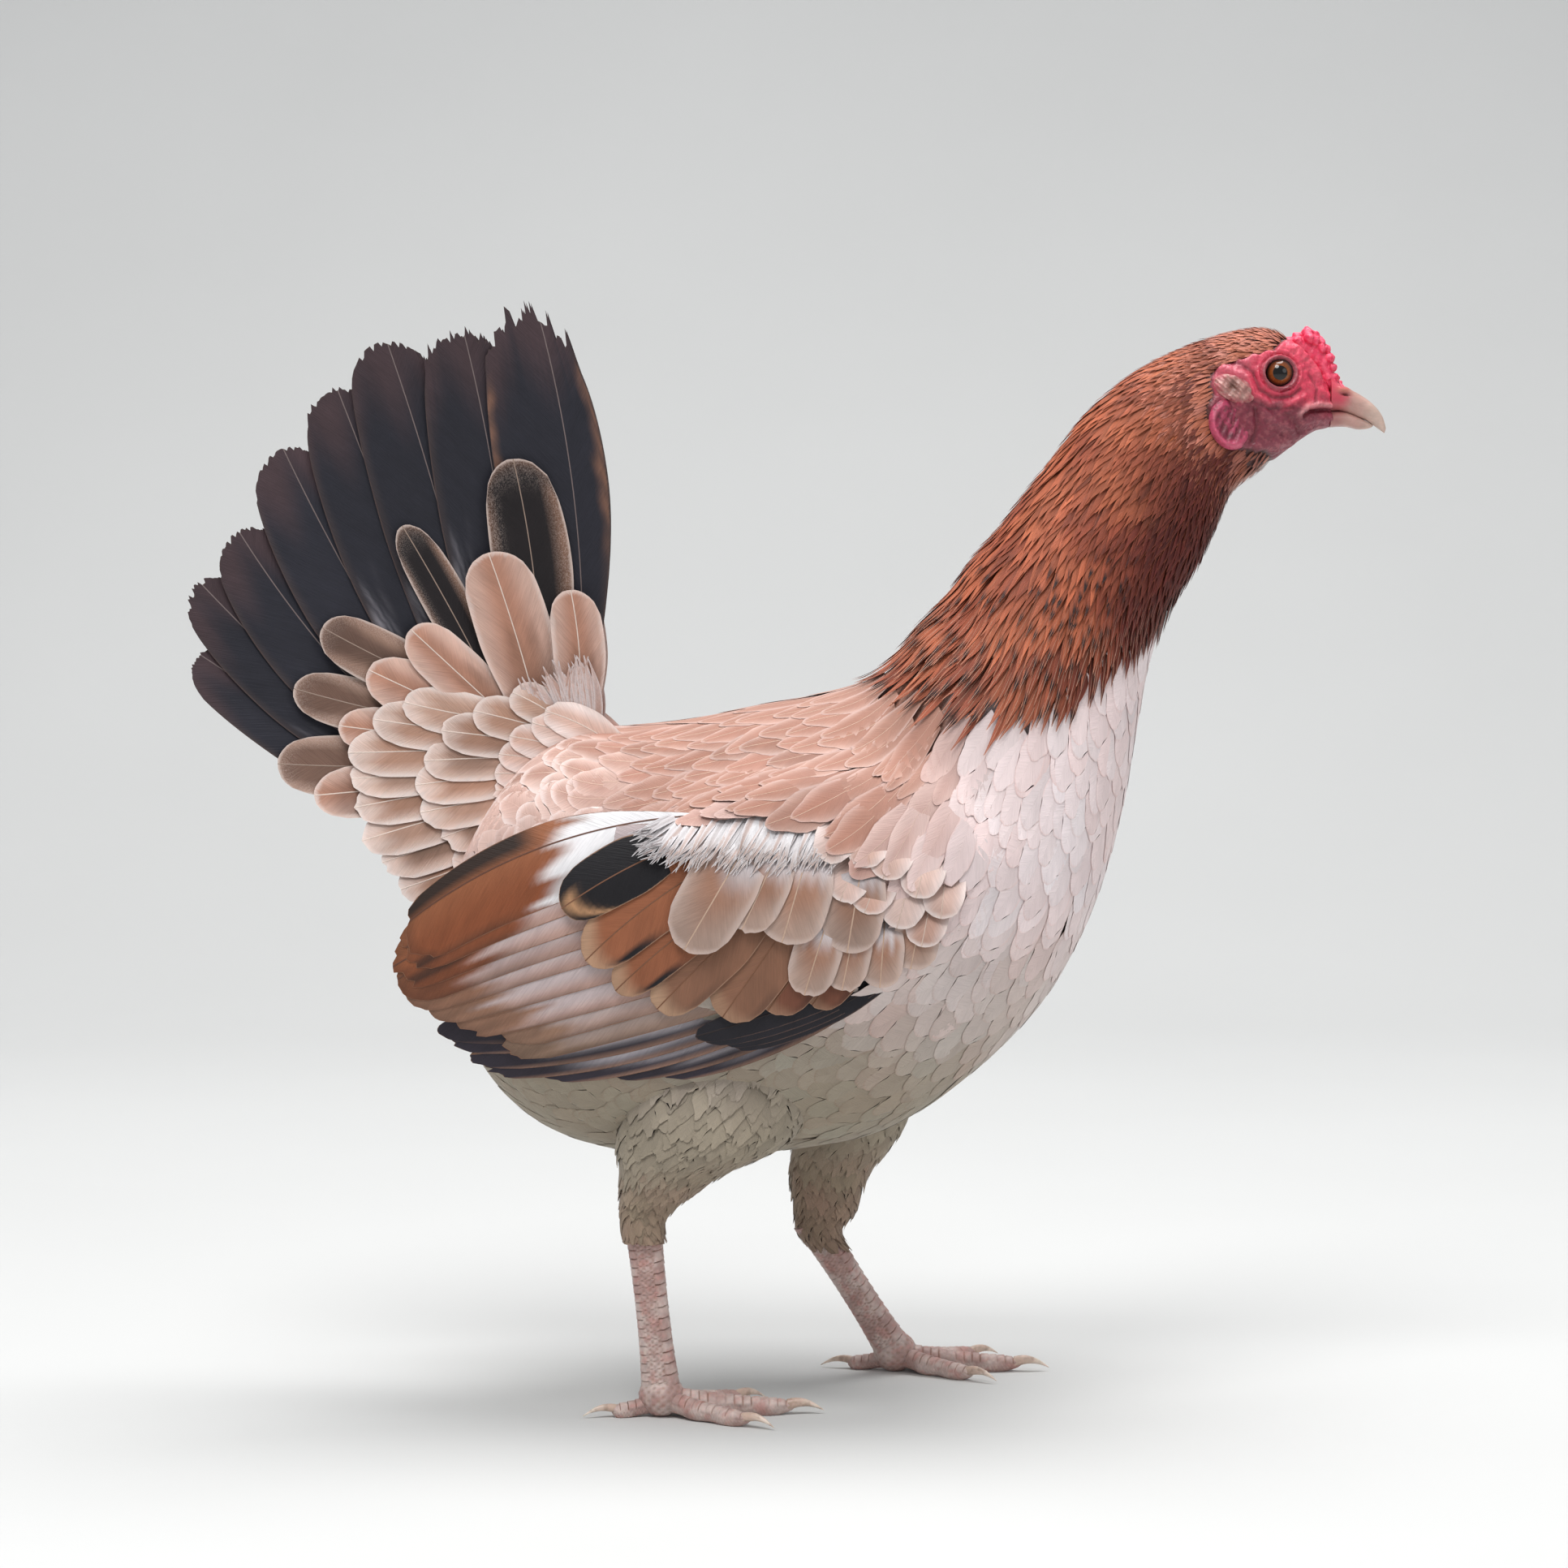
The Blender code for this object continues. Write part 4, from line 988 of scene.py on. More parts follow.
def make_hackle(width):
    """The hackle: narrow feathers in staggered rows down the neck, short behind the face and long
    over the shoulders, rust red with a black shaft streak near the lower tips."""
    narrow = width / MM
    rows, columns = 11, 5
    roots, draw = rows_of(
        body, lambda a: 18.6 - 1.4 * (0.5 - 0.5 * np.cos(a)) ** 2, hackle_edge,
        lambda d: 2.4 + 0.030 * d, lambda d: narrow * (0.72 + 0.0028 * d), 23,
    )
    made = []
    share = roots[:, 2] / np.maximum(roots[:, 3], 1)
    length = 9 + 31 * share**0.8 * np.clip(roots[:, 3] / 190, 0.45, 1)
    kept = roots[:, 2] + length * 0.97 < roots[:, 3] + 3
    kept = kept & (bare(body(roots[:, 0], roots[:, 1])) <= 0.4)
    for side, end in SIDES:
        mine = kept & on_side(roots, side)
        mine, part, long_ = roots[mine], share[mine], length[mine]
        number = len(mine)
        here = body(mine[:, 0], mine[:, 1])
        half = narrow * (0.40 + 0.42 * part) * draw.uniform(0.85, 1.15, number)
        colour = varied(neck_colour(here), draw, 0.16)
        low_tip = smooth(part, 0.42, 0.75)
        at_back = smooth(np.cos(mine[:, 1]), -0.55, 0.1)
        marked = smooth(part, 0.30, 0.45) * (1 - smooth(part, 0.84, 0.95))
        streak = marked * smooth(-here[:, 2], -345, -325) * at_back * (draw.random(number) < 0.36)
        blades = blade(rows, columns, 0.6, 0.35, 0.16, 0.16, 0.04, draw, number)
        v, s = shares(rows, columns)
        mark = smooth(v, 0.68, 0.76) * (1 - smooth(v, 0.93, 1.0)) * (1 - smooth(np.abs(s), 0.7, 1.15))
        light = (0.75 + 0.4 * smooth(v + 0 * s, 0.1, 0.9))[..., None]
        tint = tone(each(colour) * light, BLACK, np.clip(each(streak) * mark * 1.4, 0, 1) * 0.98)
        shaft = tone(colour, (0.70, 0.42, 0.30), 0.55 * low_tip)
        widths = np.stack((0.35 + 0.2 * part, 0.03 + 0.13 * low_tip, 0 * part), -1)
        turn = draw.normal(0, 0.07, number)
        high = 0.6 + 0.9 * part + 0.5 * draw.random(number) + 0.45 * streak
        rim = tone(colour, chosen("nape"), 0.5)
        gathered = Mesh()
        coat(
            gathered, body, mine, blades, looks_of(draw, tint, each(rim), each(shaft), each(widths)),
            thickness=0.1, half=half, length=long_, turn=turn, low=-COAT_DEPTH + 1.3 * (1 - part),
            high=high, camber=0.08,
        )
        finish = once("hackle_feather", feather_finish)
        made.append(gathered.build(f"hackle_{end}", finish, "hackle_plumage"))
    return made


def make_head_feathers():
    """Tiny feathers on crown, nape, round the bare face and under the chin, in staggered rows that
    lie back from the beak."""
    rows, columns = 6, 3
    roots, draw = rows_of(body, 22.2, 16.4, 1.75, 1.35, 31)
    here = body(roots[:, 0], roots[:, 1])
    x, y, z = here.T
    chin = (z < 372) & (x < 200)
    keep = (bare(here) < 0.35) & ((z > 372) & (x < 197 - np.abs(y) * 0.4) | chin)
    keep = keep & (draw.random(len(roots)) < np.where(chin & (x > 176), 0.45, 1))
    roots, here = roots[keep], here[keep]
    number = len(roots)
    x, y, z = here.T
    colour = tone(chosen("nape"), (0.52, 0.20, 0.15), 0.5 + 0.5 * wave_noise(here, 9, 40))
    chin = smooth(-z, -372, -366) * smooth(-np.cos(roots[:, 1]), 0.80, 0.95)
    colour = tone(colour, (0.50, 0.30, 0.25), chin * 0.6)
    below = smooth(-(z - 366) + (x - 165) * 0.2, -6, 6) * (1 - chin)
    colour = varied(tone(colour, chosen("throat"), 0.45 * below), draw, 0.14)
    blades = blade(rows, columns, 0.6, 0.4, 0.2, 0.1, 0.05, draw, number)
    v, s = shares(rows, columns)
    tint = each(colour) * (0.75 + 0.4 * v + 0 * s)[..., None]
    length = (4.6 + 2.4 * smooth(-x, -190, -160)) * draw.uniform(0.8, 1.2, number)
    half, turn = 0.62 * draw.uniform(0.8, 1.2, number), draw.normal(0, 0.12, number)
    high = 0.25 + 0.4 * draw.random(number)
    look = looks_of(draw, tint, each(colour * 1.1), each(colour), np.array((0.2, 0.0, 0.0)))
    gathered = Mesh()
    coat(
        gathered, body, roots, blades, look, thickness=0.07, half=half, length=length, turn=turn,
        low=-0.8, high=high, camber=0.08,
    )
    return gathered.build("head_feathers", once("hackle_feather", feather_finish), "hackle_plumage")


def make_thigh_coat():
    """Soft cream feathers down both thighs, shorter towards the hock, where they end shaggy; their
    cream is darkened by painted shade, most of all near the hock.
    """
    rows, columns = 7, 5
    gathered = Mesh()
    for side, _ in SIDES:
        surface = thigh(side)
        spacing, gap = lambda d: 4.6 - 0.015 * d, lambda d: 5.4 - 0.025 * d
        roots, draw = rows_of(surface, THIGH_RUN, 0.02, spacing, gap, 47 + side)
        number = len(roots)
        here = surface(roots[:, 0], roots[:, 1])
        z = here[:, 2]
        # Painted shade: the thighs' cream is dark, and darker still near the hock.
        colour = tone((0.27, 0.215, 0.15), (0.33, 0.225, 0.165), 0.5 + 0.5 * wave_noise(here, 22, 50))
        colour = tone(colour, body_colour(here), smooth(z, 84, 112))
        colour = varied(tone(colour, (0.26, 0.17, 0.12), smooth(-z, -90, -62) * 0.6), draw, 0.07)
        blades = blade(rows, columns, 0.5, 0.5, 0.42, 0.3, 0.20, draw, number)
        v, s = shares(rows, columns)
        tint = each(colour) * (0.85 + 0.17 * v + 0 * s)[..., None]
        long_ = smooth(z, 60, 120)
        length = (10 + 8 * long_) * draw.uniform(0.8, 1.2, number)
        half = (2.6 + 1.9 * long_) * draw.uniform(0.9, 1.1, number)
        turn, high = draw.normal(0, 0.16, number), 0.2 + 0.5 * draw.random(number)
        shaft = tone(colour, PALE_SHAFT, 0.3)
        look = looks_of(draw, tint, each(colour * 0.86), each(shaft), np.array((0.6, 0.05, 0.1)))
        coat(
            gathered, surface, roots, blades, look, 2 * THIGH_RUN, THIGH_RUN * (1 + side) / 2, half=half,
            length=length, turn=turn, low=-1.4, high=high, camber=0.03, floor=-0.95,
        )
    return gathered.build("thigh_feathers", once("body_feather", feather_finish), "body_plumage")


# Wing and tail feathers: root x, z, tip x, z, half width and bow, laid on their field


def fan(field, side, rows, aside, along, tier, start):
    """Feathers on a field in side view. A point is the root plus the way to the tip times along,
    plus aside times the half width less the bow's bell 4v(1 - v). Its height rises from start to
    the tier's layer over the tier's rise, a share of its length, slopes down to the upper edge by
    its tilt, so that each feather covers the next one below, and drops a little to both edges."""
    root_x, root_z, tip_x, tip_z, half, bow = (each(column) for column in rows.T)
    run_x, run_z = tip_x - root_x, tip_z - root_z
    length = np.hypot(run_x, run_z)
    flip = np.where(run_x < 0, 1, -1)
    up_x, up_z = flip * run_z / length, -flip * run_x / length
    off = aside * half - bow * 4 * along * (1 - along)
    x = root_x + run_x * along + up_x * off
    z = root_z + run_z * along + up_z * off
    height = each(start) + (tier.layer - each(start)) * smooth(along, 0, tier.rise)
    height = height - tier.tilt * aside - 0.035 * half * aside**2
    return np.stack((x, side * (field(x, z) + height), z), -1), length.ravel()


def keyed(keys, count, draw, spread):
    """Feathers spaced along a spline of key feathers, each varied a little."""
    rows = spline(keys, np.linspace(0, len(keys) - 1, count))
    rows[:, 2:4] += draw.uniform(-spread, spread, (count, 2))
    rows[:, 4] *= draw.uniform(0.94, 1.06, count)
    rows[:, 5] += draw.uniform(-spread, spread, count)
    return rows


def tile_patch(first, number, total):
    """Big feathers each have a tile of their own on the bake map, side by side."""
    side = math.ceil(math.sqrt(total))
    index = np.arange(first, first + number)
    centre = (np.stack((index % side, index // side), -1) + 0.5) / side
    return centre, TILE_SHARE / side


def secondary_paint(s, v, i):
    """Pinkish cream inner webs with rust tips, which start further out on each lower feather. The
    first feather is white above its shaft and then black."""
    first = i == 0
    border = np.interp(i, (0, 1, 2, 3, 8), (0.45, 0.58, 0.70, 0.77, 0.80)) - 0.08 * s
    wander = 0.035 * np.sin(9 * s + 2 * i) + 0.025 * np.sin(23 * s + i)
    rust = smooth(v + wander, border - 0.05, border + 0.05)
    white = tone((0.45, 0.36, 0.36), (0.78, 0.76, 0.77), np.where(first, 1.0, 0.10))
    white = tone(white, (0.42, 0.22, 0.15), smooth(-s, 0.45, 0.95) * 0.7 * (i > 0))
    tan = tone((0.22, 0.066, 0.027), (0.31, 0.125, 0.060), smooth(s, -0.6, 0.9) * 0.6)
    tan = tone(tan, (0.29, 0.165, 0.11), smooth(i, 2.5, 4.5) * 0.8)
    colour = tone(white, tan, rust)
    colour = tone(colour, (0.27, 0.185, 0.13), smooth(i, 6.4, 7.6) * 0.6 * smooth(v, 0.2, 0.5))
    streak = bell(s + 0.42 + 0.1 * np.sin(8 * v), 0.2)
    streak = streak * smooth(v, border - 0.02, border + 0.1) * np.where(i < 3, 0.9, 0.35) * (i > 0)
    dark = np.maximum(streak, smooth(-s, 0.75, 1.0) * smooth(v, 0.5, 0.75) * 0.6)
    dark = np.maximum(dark, smooth(s, 0.5, 0.62) * smooth(v, 0.45, 0.56) * first)
    dark = np.maximum(dark, smooth(v, 0.95, 1.0) * 0.4)
    return tone(colour, (0.03, 0.018, 0.014), dark)


def primary_paint(s, v, i):
    """Slate black with a silver painted highlight, the glossy feathers' sheen, along the middle
    where it shows, and a thin tan lower edge.
    """
    reach = smooth(v, 0.16, 0.30) * (1 - smooth(v, 0.66, 0.86))
    wander = 0.08 * np.sin(11 * v + 2 * i)
    # Painted highlight: a silver sheen along the exposed web, stronger on some feathers.
    sheen_band = bell(s + 0.34 + wander, np.where(i == 3, 0.34, 0.20))
    share = np.interp(i, (0, 2, 3, 4, 5, 6), (0.9, 0.9, 0.95, 0.55, 0.7, 0.35))
    colour = tone((0.030, 0.024, 0.034), (0.47, 0.43, 0.46), sheen_band * reach * share)
    return tone(colour, (0.30, 0.17, 0.12), smooth(-s, 0.70, 0.95) * np.where(i > 0, 0.85, 0.3))


def alula_paint(s, v, i):
    """Black all over."""
    return tone(BLACK, SLATE, 0.5 + 0 * s * v * i)


def greater_paint(s, v, i):
    """The first black with a tan crescent at its tip, then rust with a black lower edge and a
    buff tip, then olive brown and red brown ones."""
    rust = tone((0.27, 0.095, 0.045), (0.21, 0.100, 0.060), smooth(i, 2, 3))
    rust = tone(rust, (0.17, 0.062, 0.036), smooth(i, 4.2, 5))
    buff_tip = smooth(v + 0.06 * s, 0.84, 0.98)
    colour = tone(rust, (0.44, 0.28, 0.18), buff_tip * np.where(i < 4, 0.8, 0.4))
    lower = smooth(-s + 0.10 * np.sin(7 * v), 0.62, 0.78) * smooth(v, 0.55, 0.75) * (1 - smooth(v, 0.93, 1))
    colour = tone(colour, BLACK, np.where(i < 3, lower, lower * 0.3))
    crescent = bell(v - 0.93 + 0.12 * s**2, 0.05) * smooth(0.5 - s, 0, 0.4)
    first = tone(BLACK, (0.46, 0.25, 0.13), crescent * 0.9)
    return tone(colour, first, (i == 0) * 1.0)


def median_paint(s, v, i):
    """White down at the root that frays into salmon, greyish buff pink outwards, paler at the
    sides."""
    colour = tone((0.34, 0.175, 0.115), (0.38, 0.265, 0.215), smooth(v + 0.2 * np.abs(s), 0.5, 1.0))
    colour = tone(colour, (0.52, 0.38, 0.32), smooth(np.abs(s), 0.4, 1.0) * 0.6)
    fray = 0.07 * np.sin(19 * s + 3 * i) + 0.05 * np.sin(41 * s + i)
    return tone(colour, (0.60, 0.55, 0.56), 0.9 - 0.9 * smooth(v + fray + 0.12 * np.abs(s), 0.26, 0.56))


def lesser_paint(s, v, i):
    """Salmon with paler pink sides."""
    colour = tone((0.50, 0.30, 0.235), (0.60, 0.44, 0.39), 0.5 + 0.5 * np.sin(2.7 * i) + 0 * s)
    return tone(colour, (0.68, 0.56, 0.53), smooth(np.abs(s) + 0.3 * v, 0.5, 1.2) * 0.85)


def fluff_paint(s, v, i):
    """White down, grey at its root and fading at its tips into the salmon or black under it,
    greyer and pinker at the back."""
    shade = 0.5 + 0.5 * np.sin(5.1 * i) * np.cos(1.7 * i)
    white = tone((0.50, 0.46, 0.46), (0.68, 0.66, 0.67), shade + 0 * s * v)
    grey = (1 - smooth(i, 12, 75)) * (0.55 + 0.45 * np.sin(2.3 * i))
    white = tone(white, (0.26, 0.21, 0.21), np.clip(grey, 0, 1) * 0.85 + 0 * s)
    white = tone(white, (0.48, 0.31, 0.25), np.where(i % 4 == 3, 0.5, 0.0) + 0 * s)
    under = tone((0.16, 0.13, 0.13), (0.40, 0.27, 0.22), smooth(i, 30, 60))
    return tone(white, under, smooth(v, 0.62, 1.0) * 0.8)


class Tier(NamedTuple):
    """One tier of big feathers. Its keys hold root x, z, tip x, z, half width and bow, for each
    feather or for key feathers that a spline joins. Outline holds the blade's base, peak, tip,
    round tip and raggedness, layer the height over the field, widths those of rim and shaft in mm
    with the share of flecks, and offset how far the shaft lies from the middle."""

    name: str
    keys: tuple
    count: int
    grid: tuple
    outline: tuple
    layer: float
    tilt: float
    paint: object
    rim: tuple
    shaft: tuple
    widths: tuple
    offset: float = 0.0
    spread: float = 1.2
    rise: float = 0.3


SECONDARY_KEYS = ((-30, 221, -144, 175, 14, -9), (6, 204, -142, 158, 14, -6), (34, 184, -104, 142, 12, -2))
PRIMARY_KEYS = ((10, 180, -129, 145, 8, 6), (24, 178, -112, 131, 8, 8), (42, 176, -46, 130, 6, 6))
ALULA_KEYS = ((36, 172, -33, 146, 6, 2), (38, 168, -20, 141, 5, 3))
GREATER = (
    (-33, 219, -82, 193, 11, -2),
    (-17, 215, -73, 174, 12, -3),
    (-10, 204, -62, 163, 10, -2),
    (-2, 199, -47, 156, 11, -1),
    (6, 195, -23, 153, 12, 0),
    (20, 192, -6, 156, 11, 0),
    (33, 188, 10, 158, 9, 0),
)
MEDIAN = (
    (-10, 224, -37, 178, 13, 0),
    (0, 220, -16, 185, 10, 0),
    (10, 219, -1, 181, 13, 0),
    (29, 214, 23, 178, 11, 0),
)
LOWER_MEDIAN = (
    (17, 194, 7, 161, 9, 0),
    (27, 194, 21, 163, 8, 0),
    (37, 192, 35, 165, 8, 0),
    (51, 196, 46, 171, 8.5, 0),
)
LESSER = (
    (60, 214, 57, 190, 8, 0),
    (29, 219, 20, 196, 8, 0),
    (38, 216, 29, 192, 8.5, 0),
    (48, 212, 41, 187, 8.5, 0),
    (55, 204, 50, 180, 8, 0),
    (27, 233, 14, 211, 8, 0),
    (37, 232, 27, 209, 8, 0),
    (45, 230, 36, 205, 8.5, 0),
    (55, 224, 48, 198, 8.5, 0),
)
FLUFF_KEYS = (
    (-34, 227, -56, 219, 1.1, 1),
    (-28, 232, -46, 210, 1.2, 1),
    (-12, 236, -29, 209, 1.4, 0),
    (6, 235, -8, 208, 1.4, 0),
    (27, 230, 15, 208, 1.2, 0),
)
TIERS_OF_WING = (
    Tier("primary", PRIMARY_KEYS, 7, (40, 13), (0.7, 0.3, 0.75, 0.16, 0.04), -5.2, 0.9, primary_paint,
     (0.16, 0.09, 0.06), (0.24, 0.13, 0.08), (0.35, 0.45, 0.0), 0.2, spread=0.8),
    Tier("secondary", SECONDARY_KEYS, 9, (44, 15), (0.42, 0.45, 0.82, 0.13, 0.03), -2.0, 1.1,
     secondary_paint, (0.25, 0.12, 0.07), (0.13, 0.055, 0.035), (0.3, 0.40, 0.0), 0.15, rise=0.4),
    Tier("alula", ALULA_KEYS, 4, (24, 9), (0.7, 0.4, 0.8, 0.2, 0.03), 0.2, 0.5, alula_paint,
     (0.10, 0.06, 0.05), (0.03, 0.02, 0.02), (0.4, 0.3, 0.0)),
    Tier("greater_covert", GREATER, 7, (26, 13), (0.35, 0.5, 0.9, 0.22, 0.02), 1.9, 0.8, greater_paint,
     (0.34, 0.20, 0.13), (0.20, 0.09, 0.05), (0.4, 0.30, 0.0)),
    Tier("lower_median", LOWER_MEDIAN, 4, (18, 11), (0.6, 0.5, 0.95, 0.26, 0.02), 4.2, 0.7, median_paint,
     (0.54, 0.41, 0.36), (0.56, 0.38, 0.28), (2.2, 0.3, 0.0)),
    Tier("median_covert", MEDIAN, 4, (22, 13), (0.6, 0.5, 0.95, 0.26, 0.02), 5.0, 0.8, median_paint,
     (0.54, 0.41, 0.36), (0.58, 0.40, 0.30), (2.4, 0.32, 0.0)),
    Tier("lesser_covert", LESSER, 9, (16, 11), (0.5, 0.5, 0.9, 0.28, 0.03), 5.6, 0.7, lesser_paint,
     (0.72, 0.60, 0.56), (0.66, 0.50, 0.42), (1.6, 0.25, 0.0), rise=0.85),
    Tier("fluff", FLUFF_KEYS, 170, (10, 5), (0.7, 0.4, 0.20, 0.12, 0.06), 5.6, 0.25, fluff_paint,
     (0.66, 0.63, 0.64), (0.6, 0.58, 0.58), (0.8, 0.0, 0.0), spread=3.2, rise=0.85),
)


def pad_root(x, z, layer):
    """A wing feather starts just under the pad's skin."""
    return np.minimum(pad_face(x, z) - shield(x, z) - COAT_DEPTH - ROOT_DEPTH, layer)


def field_tier(into, tier, field, side, first, total, start_of):
    """One tier of big feathers with its paint. Flecks are thickest at sides and tip."""
    count = tier.count
    draw = np.random.default_rng(sum(map(ord, tier.name)))
    if len(tier.keys) == count:
        rows = np.array(tier.keys, float)
    else:
        rows = keyed(tier.keys, count, draw, tier.spread)
    aside, along = blade(*tier.grid, *tier.outline, draw, count)
    start = start_of(rows[:, 0], rows[:, 1], np.full(count, float(tier.layer)))
    points, length = fan(field, side, rows, aside, along, tier, start)
    v, s = shares(*tier.grid)
    i = np.arange(count)
    tint = np.clip(tier.paint(s, v, each(i)), 0, 0.95)
    tint = tint * (1 + draw.normal(0, 0.06, (count, 1, 1, 1)))
    outwards = np.maximum(smooth(np.abs(s), 0.45, 0.95), smooth(v, 0.84, 1.0) * 0.7)[..., None]
    *mark_widths, flecks = tier.widths
    widths = np.concatenate((mark_widths + 0 * outwards, flecks * outwards), -1)
    rim, shaft = (np.broadcast_to(colour, (count, 1, 1, 3)) for colour in (tier.rim, tier.shaft))
    look = looks_of(draw, tint, rim, shaft, widths)
    # The first feather of a tier shows its outer web alone, so its shaft lies further off.
    shift = each(np.where(i == 0, 3, 1) * tier.offset)
    patch, outer = tile_patch(first, count, total), np.array((0, side, 0))
    vanes(into, points, aside, along, rows[:, 4], length, BIG_THICKNESS, patch, outer, shift, **look)
    return first + count


def make_fans(name, slot, tiers, field, start_of, nodes):
    """Big feathers of both sides, tier by tier, each side as one piece that stands for nodes."""
    total = sum(tier.count for tier in tiers)
    made = []
    for (side, end), stood_for in zip(SIDES, nodes):
        gathered, first = Mesh(), 0
        for tier in tiers:
            first = field_tier(gathered, tier, field, side, first, total, start_of)
        finish = once("wing_and_tail_feather", feather_finish)
        made.append(gathered.build(f"{name}_{end}", finish, slot, stood_for))
    return made


def make_wings():
    """Both wings: primaries under secondaries, the thumb's feathers, four tiers of coverts and the
    white down that shows between them and the back."""
    nodes = (("wing_right",), ("wing_left",))
    return make_fans("wing_feathers", "wing_plumage", TIERS_OF_WING, shield, pad_root, nodes)


RECTRIX_KEYS = (
    (-86, 250, -103, 422, 21, -8),
    (-104, 250, -125, 413, 20, -5),
    (-112, 248, -152, 403, 20, -3),
    (-118, 246, -171, 387, 19, 0),
    (-122, 242, -190, 362, 19, 3),
    (-126, 236, -206, 331, 17, 5),
    (-128, 228, -220, 312, 15, 3),
    (-128, 218, -220, 285, 14, -1),
)
DARK_COVERTS = (
    (-92, 262, -103, 361, 15, -3),
    (-106, 262, -144, 334, 8.5, -1),
    (-118, 268, -174, 296, 10.5, 1),
    (-122, 258, -184, 273, 10, 1),
    (-126, 244, -190, 245, 11.5, 1),
)
TALL_COVERTS = (
    (-78, 256, -81, 310, 10, -2),
    (-92, 256, -112, 324, 14, -1),
    (-100, 256, -141, 295, 10, 0),
    (-100, 252, -157, 280, 10.5, 0),
    (-106, 250, -168, 259, 9, 0),
    (-112, 238, -176, 233, 10, 0),
)
LOW_COVERT_KEYS = (
    (-96, 258, -143, 268, 9, 0),
    (-104, 252, -162, 254, 9.5, 0),
    (-108, 244, -164, 236, 9, 0),
    (-106, 232, -160, 219, 9.5, 0),
    (-102, 220, -150, 204, 9.5, 0),
    (-96, 208, -136, 190, 9, 0),
)
NEAR_COVERT_KEYS = (
    (-80, 257, -104, 272, 7.5, 0),
    (-86, 252, -128, 258, 8.5, 0),
    (-90, 243, -138, 240, 9, 0),
    (-90, 232, -134, 222, 9.5, 0),
    (-86, 220, -122, 204, 9.5, 0),
    (-80, 208, -108, 188, 9, 0),
)
DOWN_KEYS = ((-72, 250, -74, 283, 1.6, 0), (-76, 252, -86, 281, 1.9, 0), (-80, 252, -100, 274, 1.8, 0))
TOP_COVERT_KEYS = (
    (-58, 245, -92, 264, 7, -2),
    (-60, 243, -105, 252, 7.5, -1),
    (-60, 238, -112, 238, 8, 0),
    (-58, 230, -108, 221, 8.5, 0),
    (-54, 218, -98, 205, 8.5, 0),
)


def rectrix_paint(s, v, i):
    """Slate black, purplish brown at the tips and along the edges, whitish in strands at the base
    of the rear web. The front feather's edges are brown."""
    tips = smooth(v + 0.05 * np.sin(6 * s + i), 0.76, 1.0)
    colour = tone(chosen("tail"), (0.066, 0.040, 0.044), tips * 0.85)
    colour = tone(colour, (0.055, 0.040, 0.040), smooth(np.abs(s), 0.80, 1.0) * 0.6)
    strand = 0.6 + 0.4 * np.sin(60 * (v + 0.35 * s) + 5 * np.sin(9 * s))
    white = (1 - smooth(v + 0.05 * np.sin(17 * s) - 0.16 * s, 0.42, 0.66)) * smooth(-s, 0.40, 0.95) * strand
    colour = tone(colour, (0.45, 0.42, 0.46), white * np.where(i % 2 == 0, 0.35, 0.65))
    speckle = 0.75 + 0.25 * np.sin(70 * v + 9 * s)
    edge = smooth(np.abs(s) + 0.04 * np.sin(23 * v) + 0.02 * np.sin(61 * v), 0.76, 0.97) * speckle
    edge = edge * smooth(v, 0.36, 0.56) * (1 - smooth(v, 0.86, 0.95))
    return tone(colour, (0.23, 0.115, 0.075), edge * np.where(i == 0, 0.8, 0.0))


def dark_covert_paint(s, v, i):
    """The first two black in the middle, speckled brown at their edges; the lower ones brownish
    salmon with a dusky middle."""
    edge = np.maximum(smooth(s, 0.50, 0.95), smooth(-s, 0.70, 1.0) * 0.8) * smooth(1 - v, 0.0, 0.12)
    edge = np.maximum(edge, smooth(v, 0.95, 1.0) * 0.6)
    brown = tone((0.24, 0.125, 0.080), (0.42, 0.275, 0.215), smooth(i, 1, 3))
    inside = tone((0.012, 0.009, 0.010), (0.15, 0.085, 0.062), smooth(i, 1.0, 2.5))
    wavy = smooth(np.abs(s) + 0.15 * np.sin(9 * v + i), 0.35, 0.85)
    edge = np.maximum(edge, wavy * smooth(i, 1, 2) * 0.85)
    return tone(inside, brown, edge * 0.9)


def tall_covert_paint(s, v, i):
    """Salmon, paler at the edges, dusky towards the root on the rear web."""
    colour = tone((0.44, 0.22, 0.15), (0.60, 0.40, 0.33), smooth(np.abs(s) + 0.3 * v, 0.3, 1.1))
    root = (1 - smooth(v + 0.08 * np.sin(11 * s), 0.40, 0.62)) * smooth(s, -0.9, -0.2) * 0.45
    colour = tone(colour, (0.17, 0.085, 0.055), root)
    dusk = ((i == 3) | (i == 2)) * 0.2 + smooth(i, 3.5, 5) * 0.45
    middle = smooth(v, 0.35, 0.7) * (1 - smooth(v, 0.82, 0.97)) * (1 - smooth(s, 0.1, 0.8))
    return tone(colour, (0.09, 0.05, 0.04), dusk * middle)


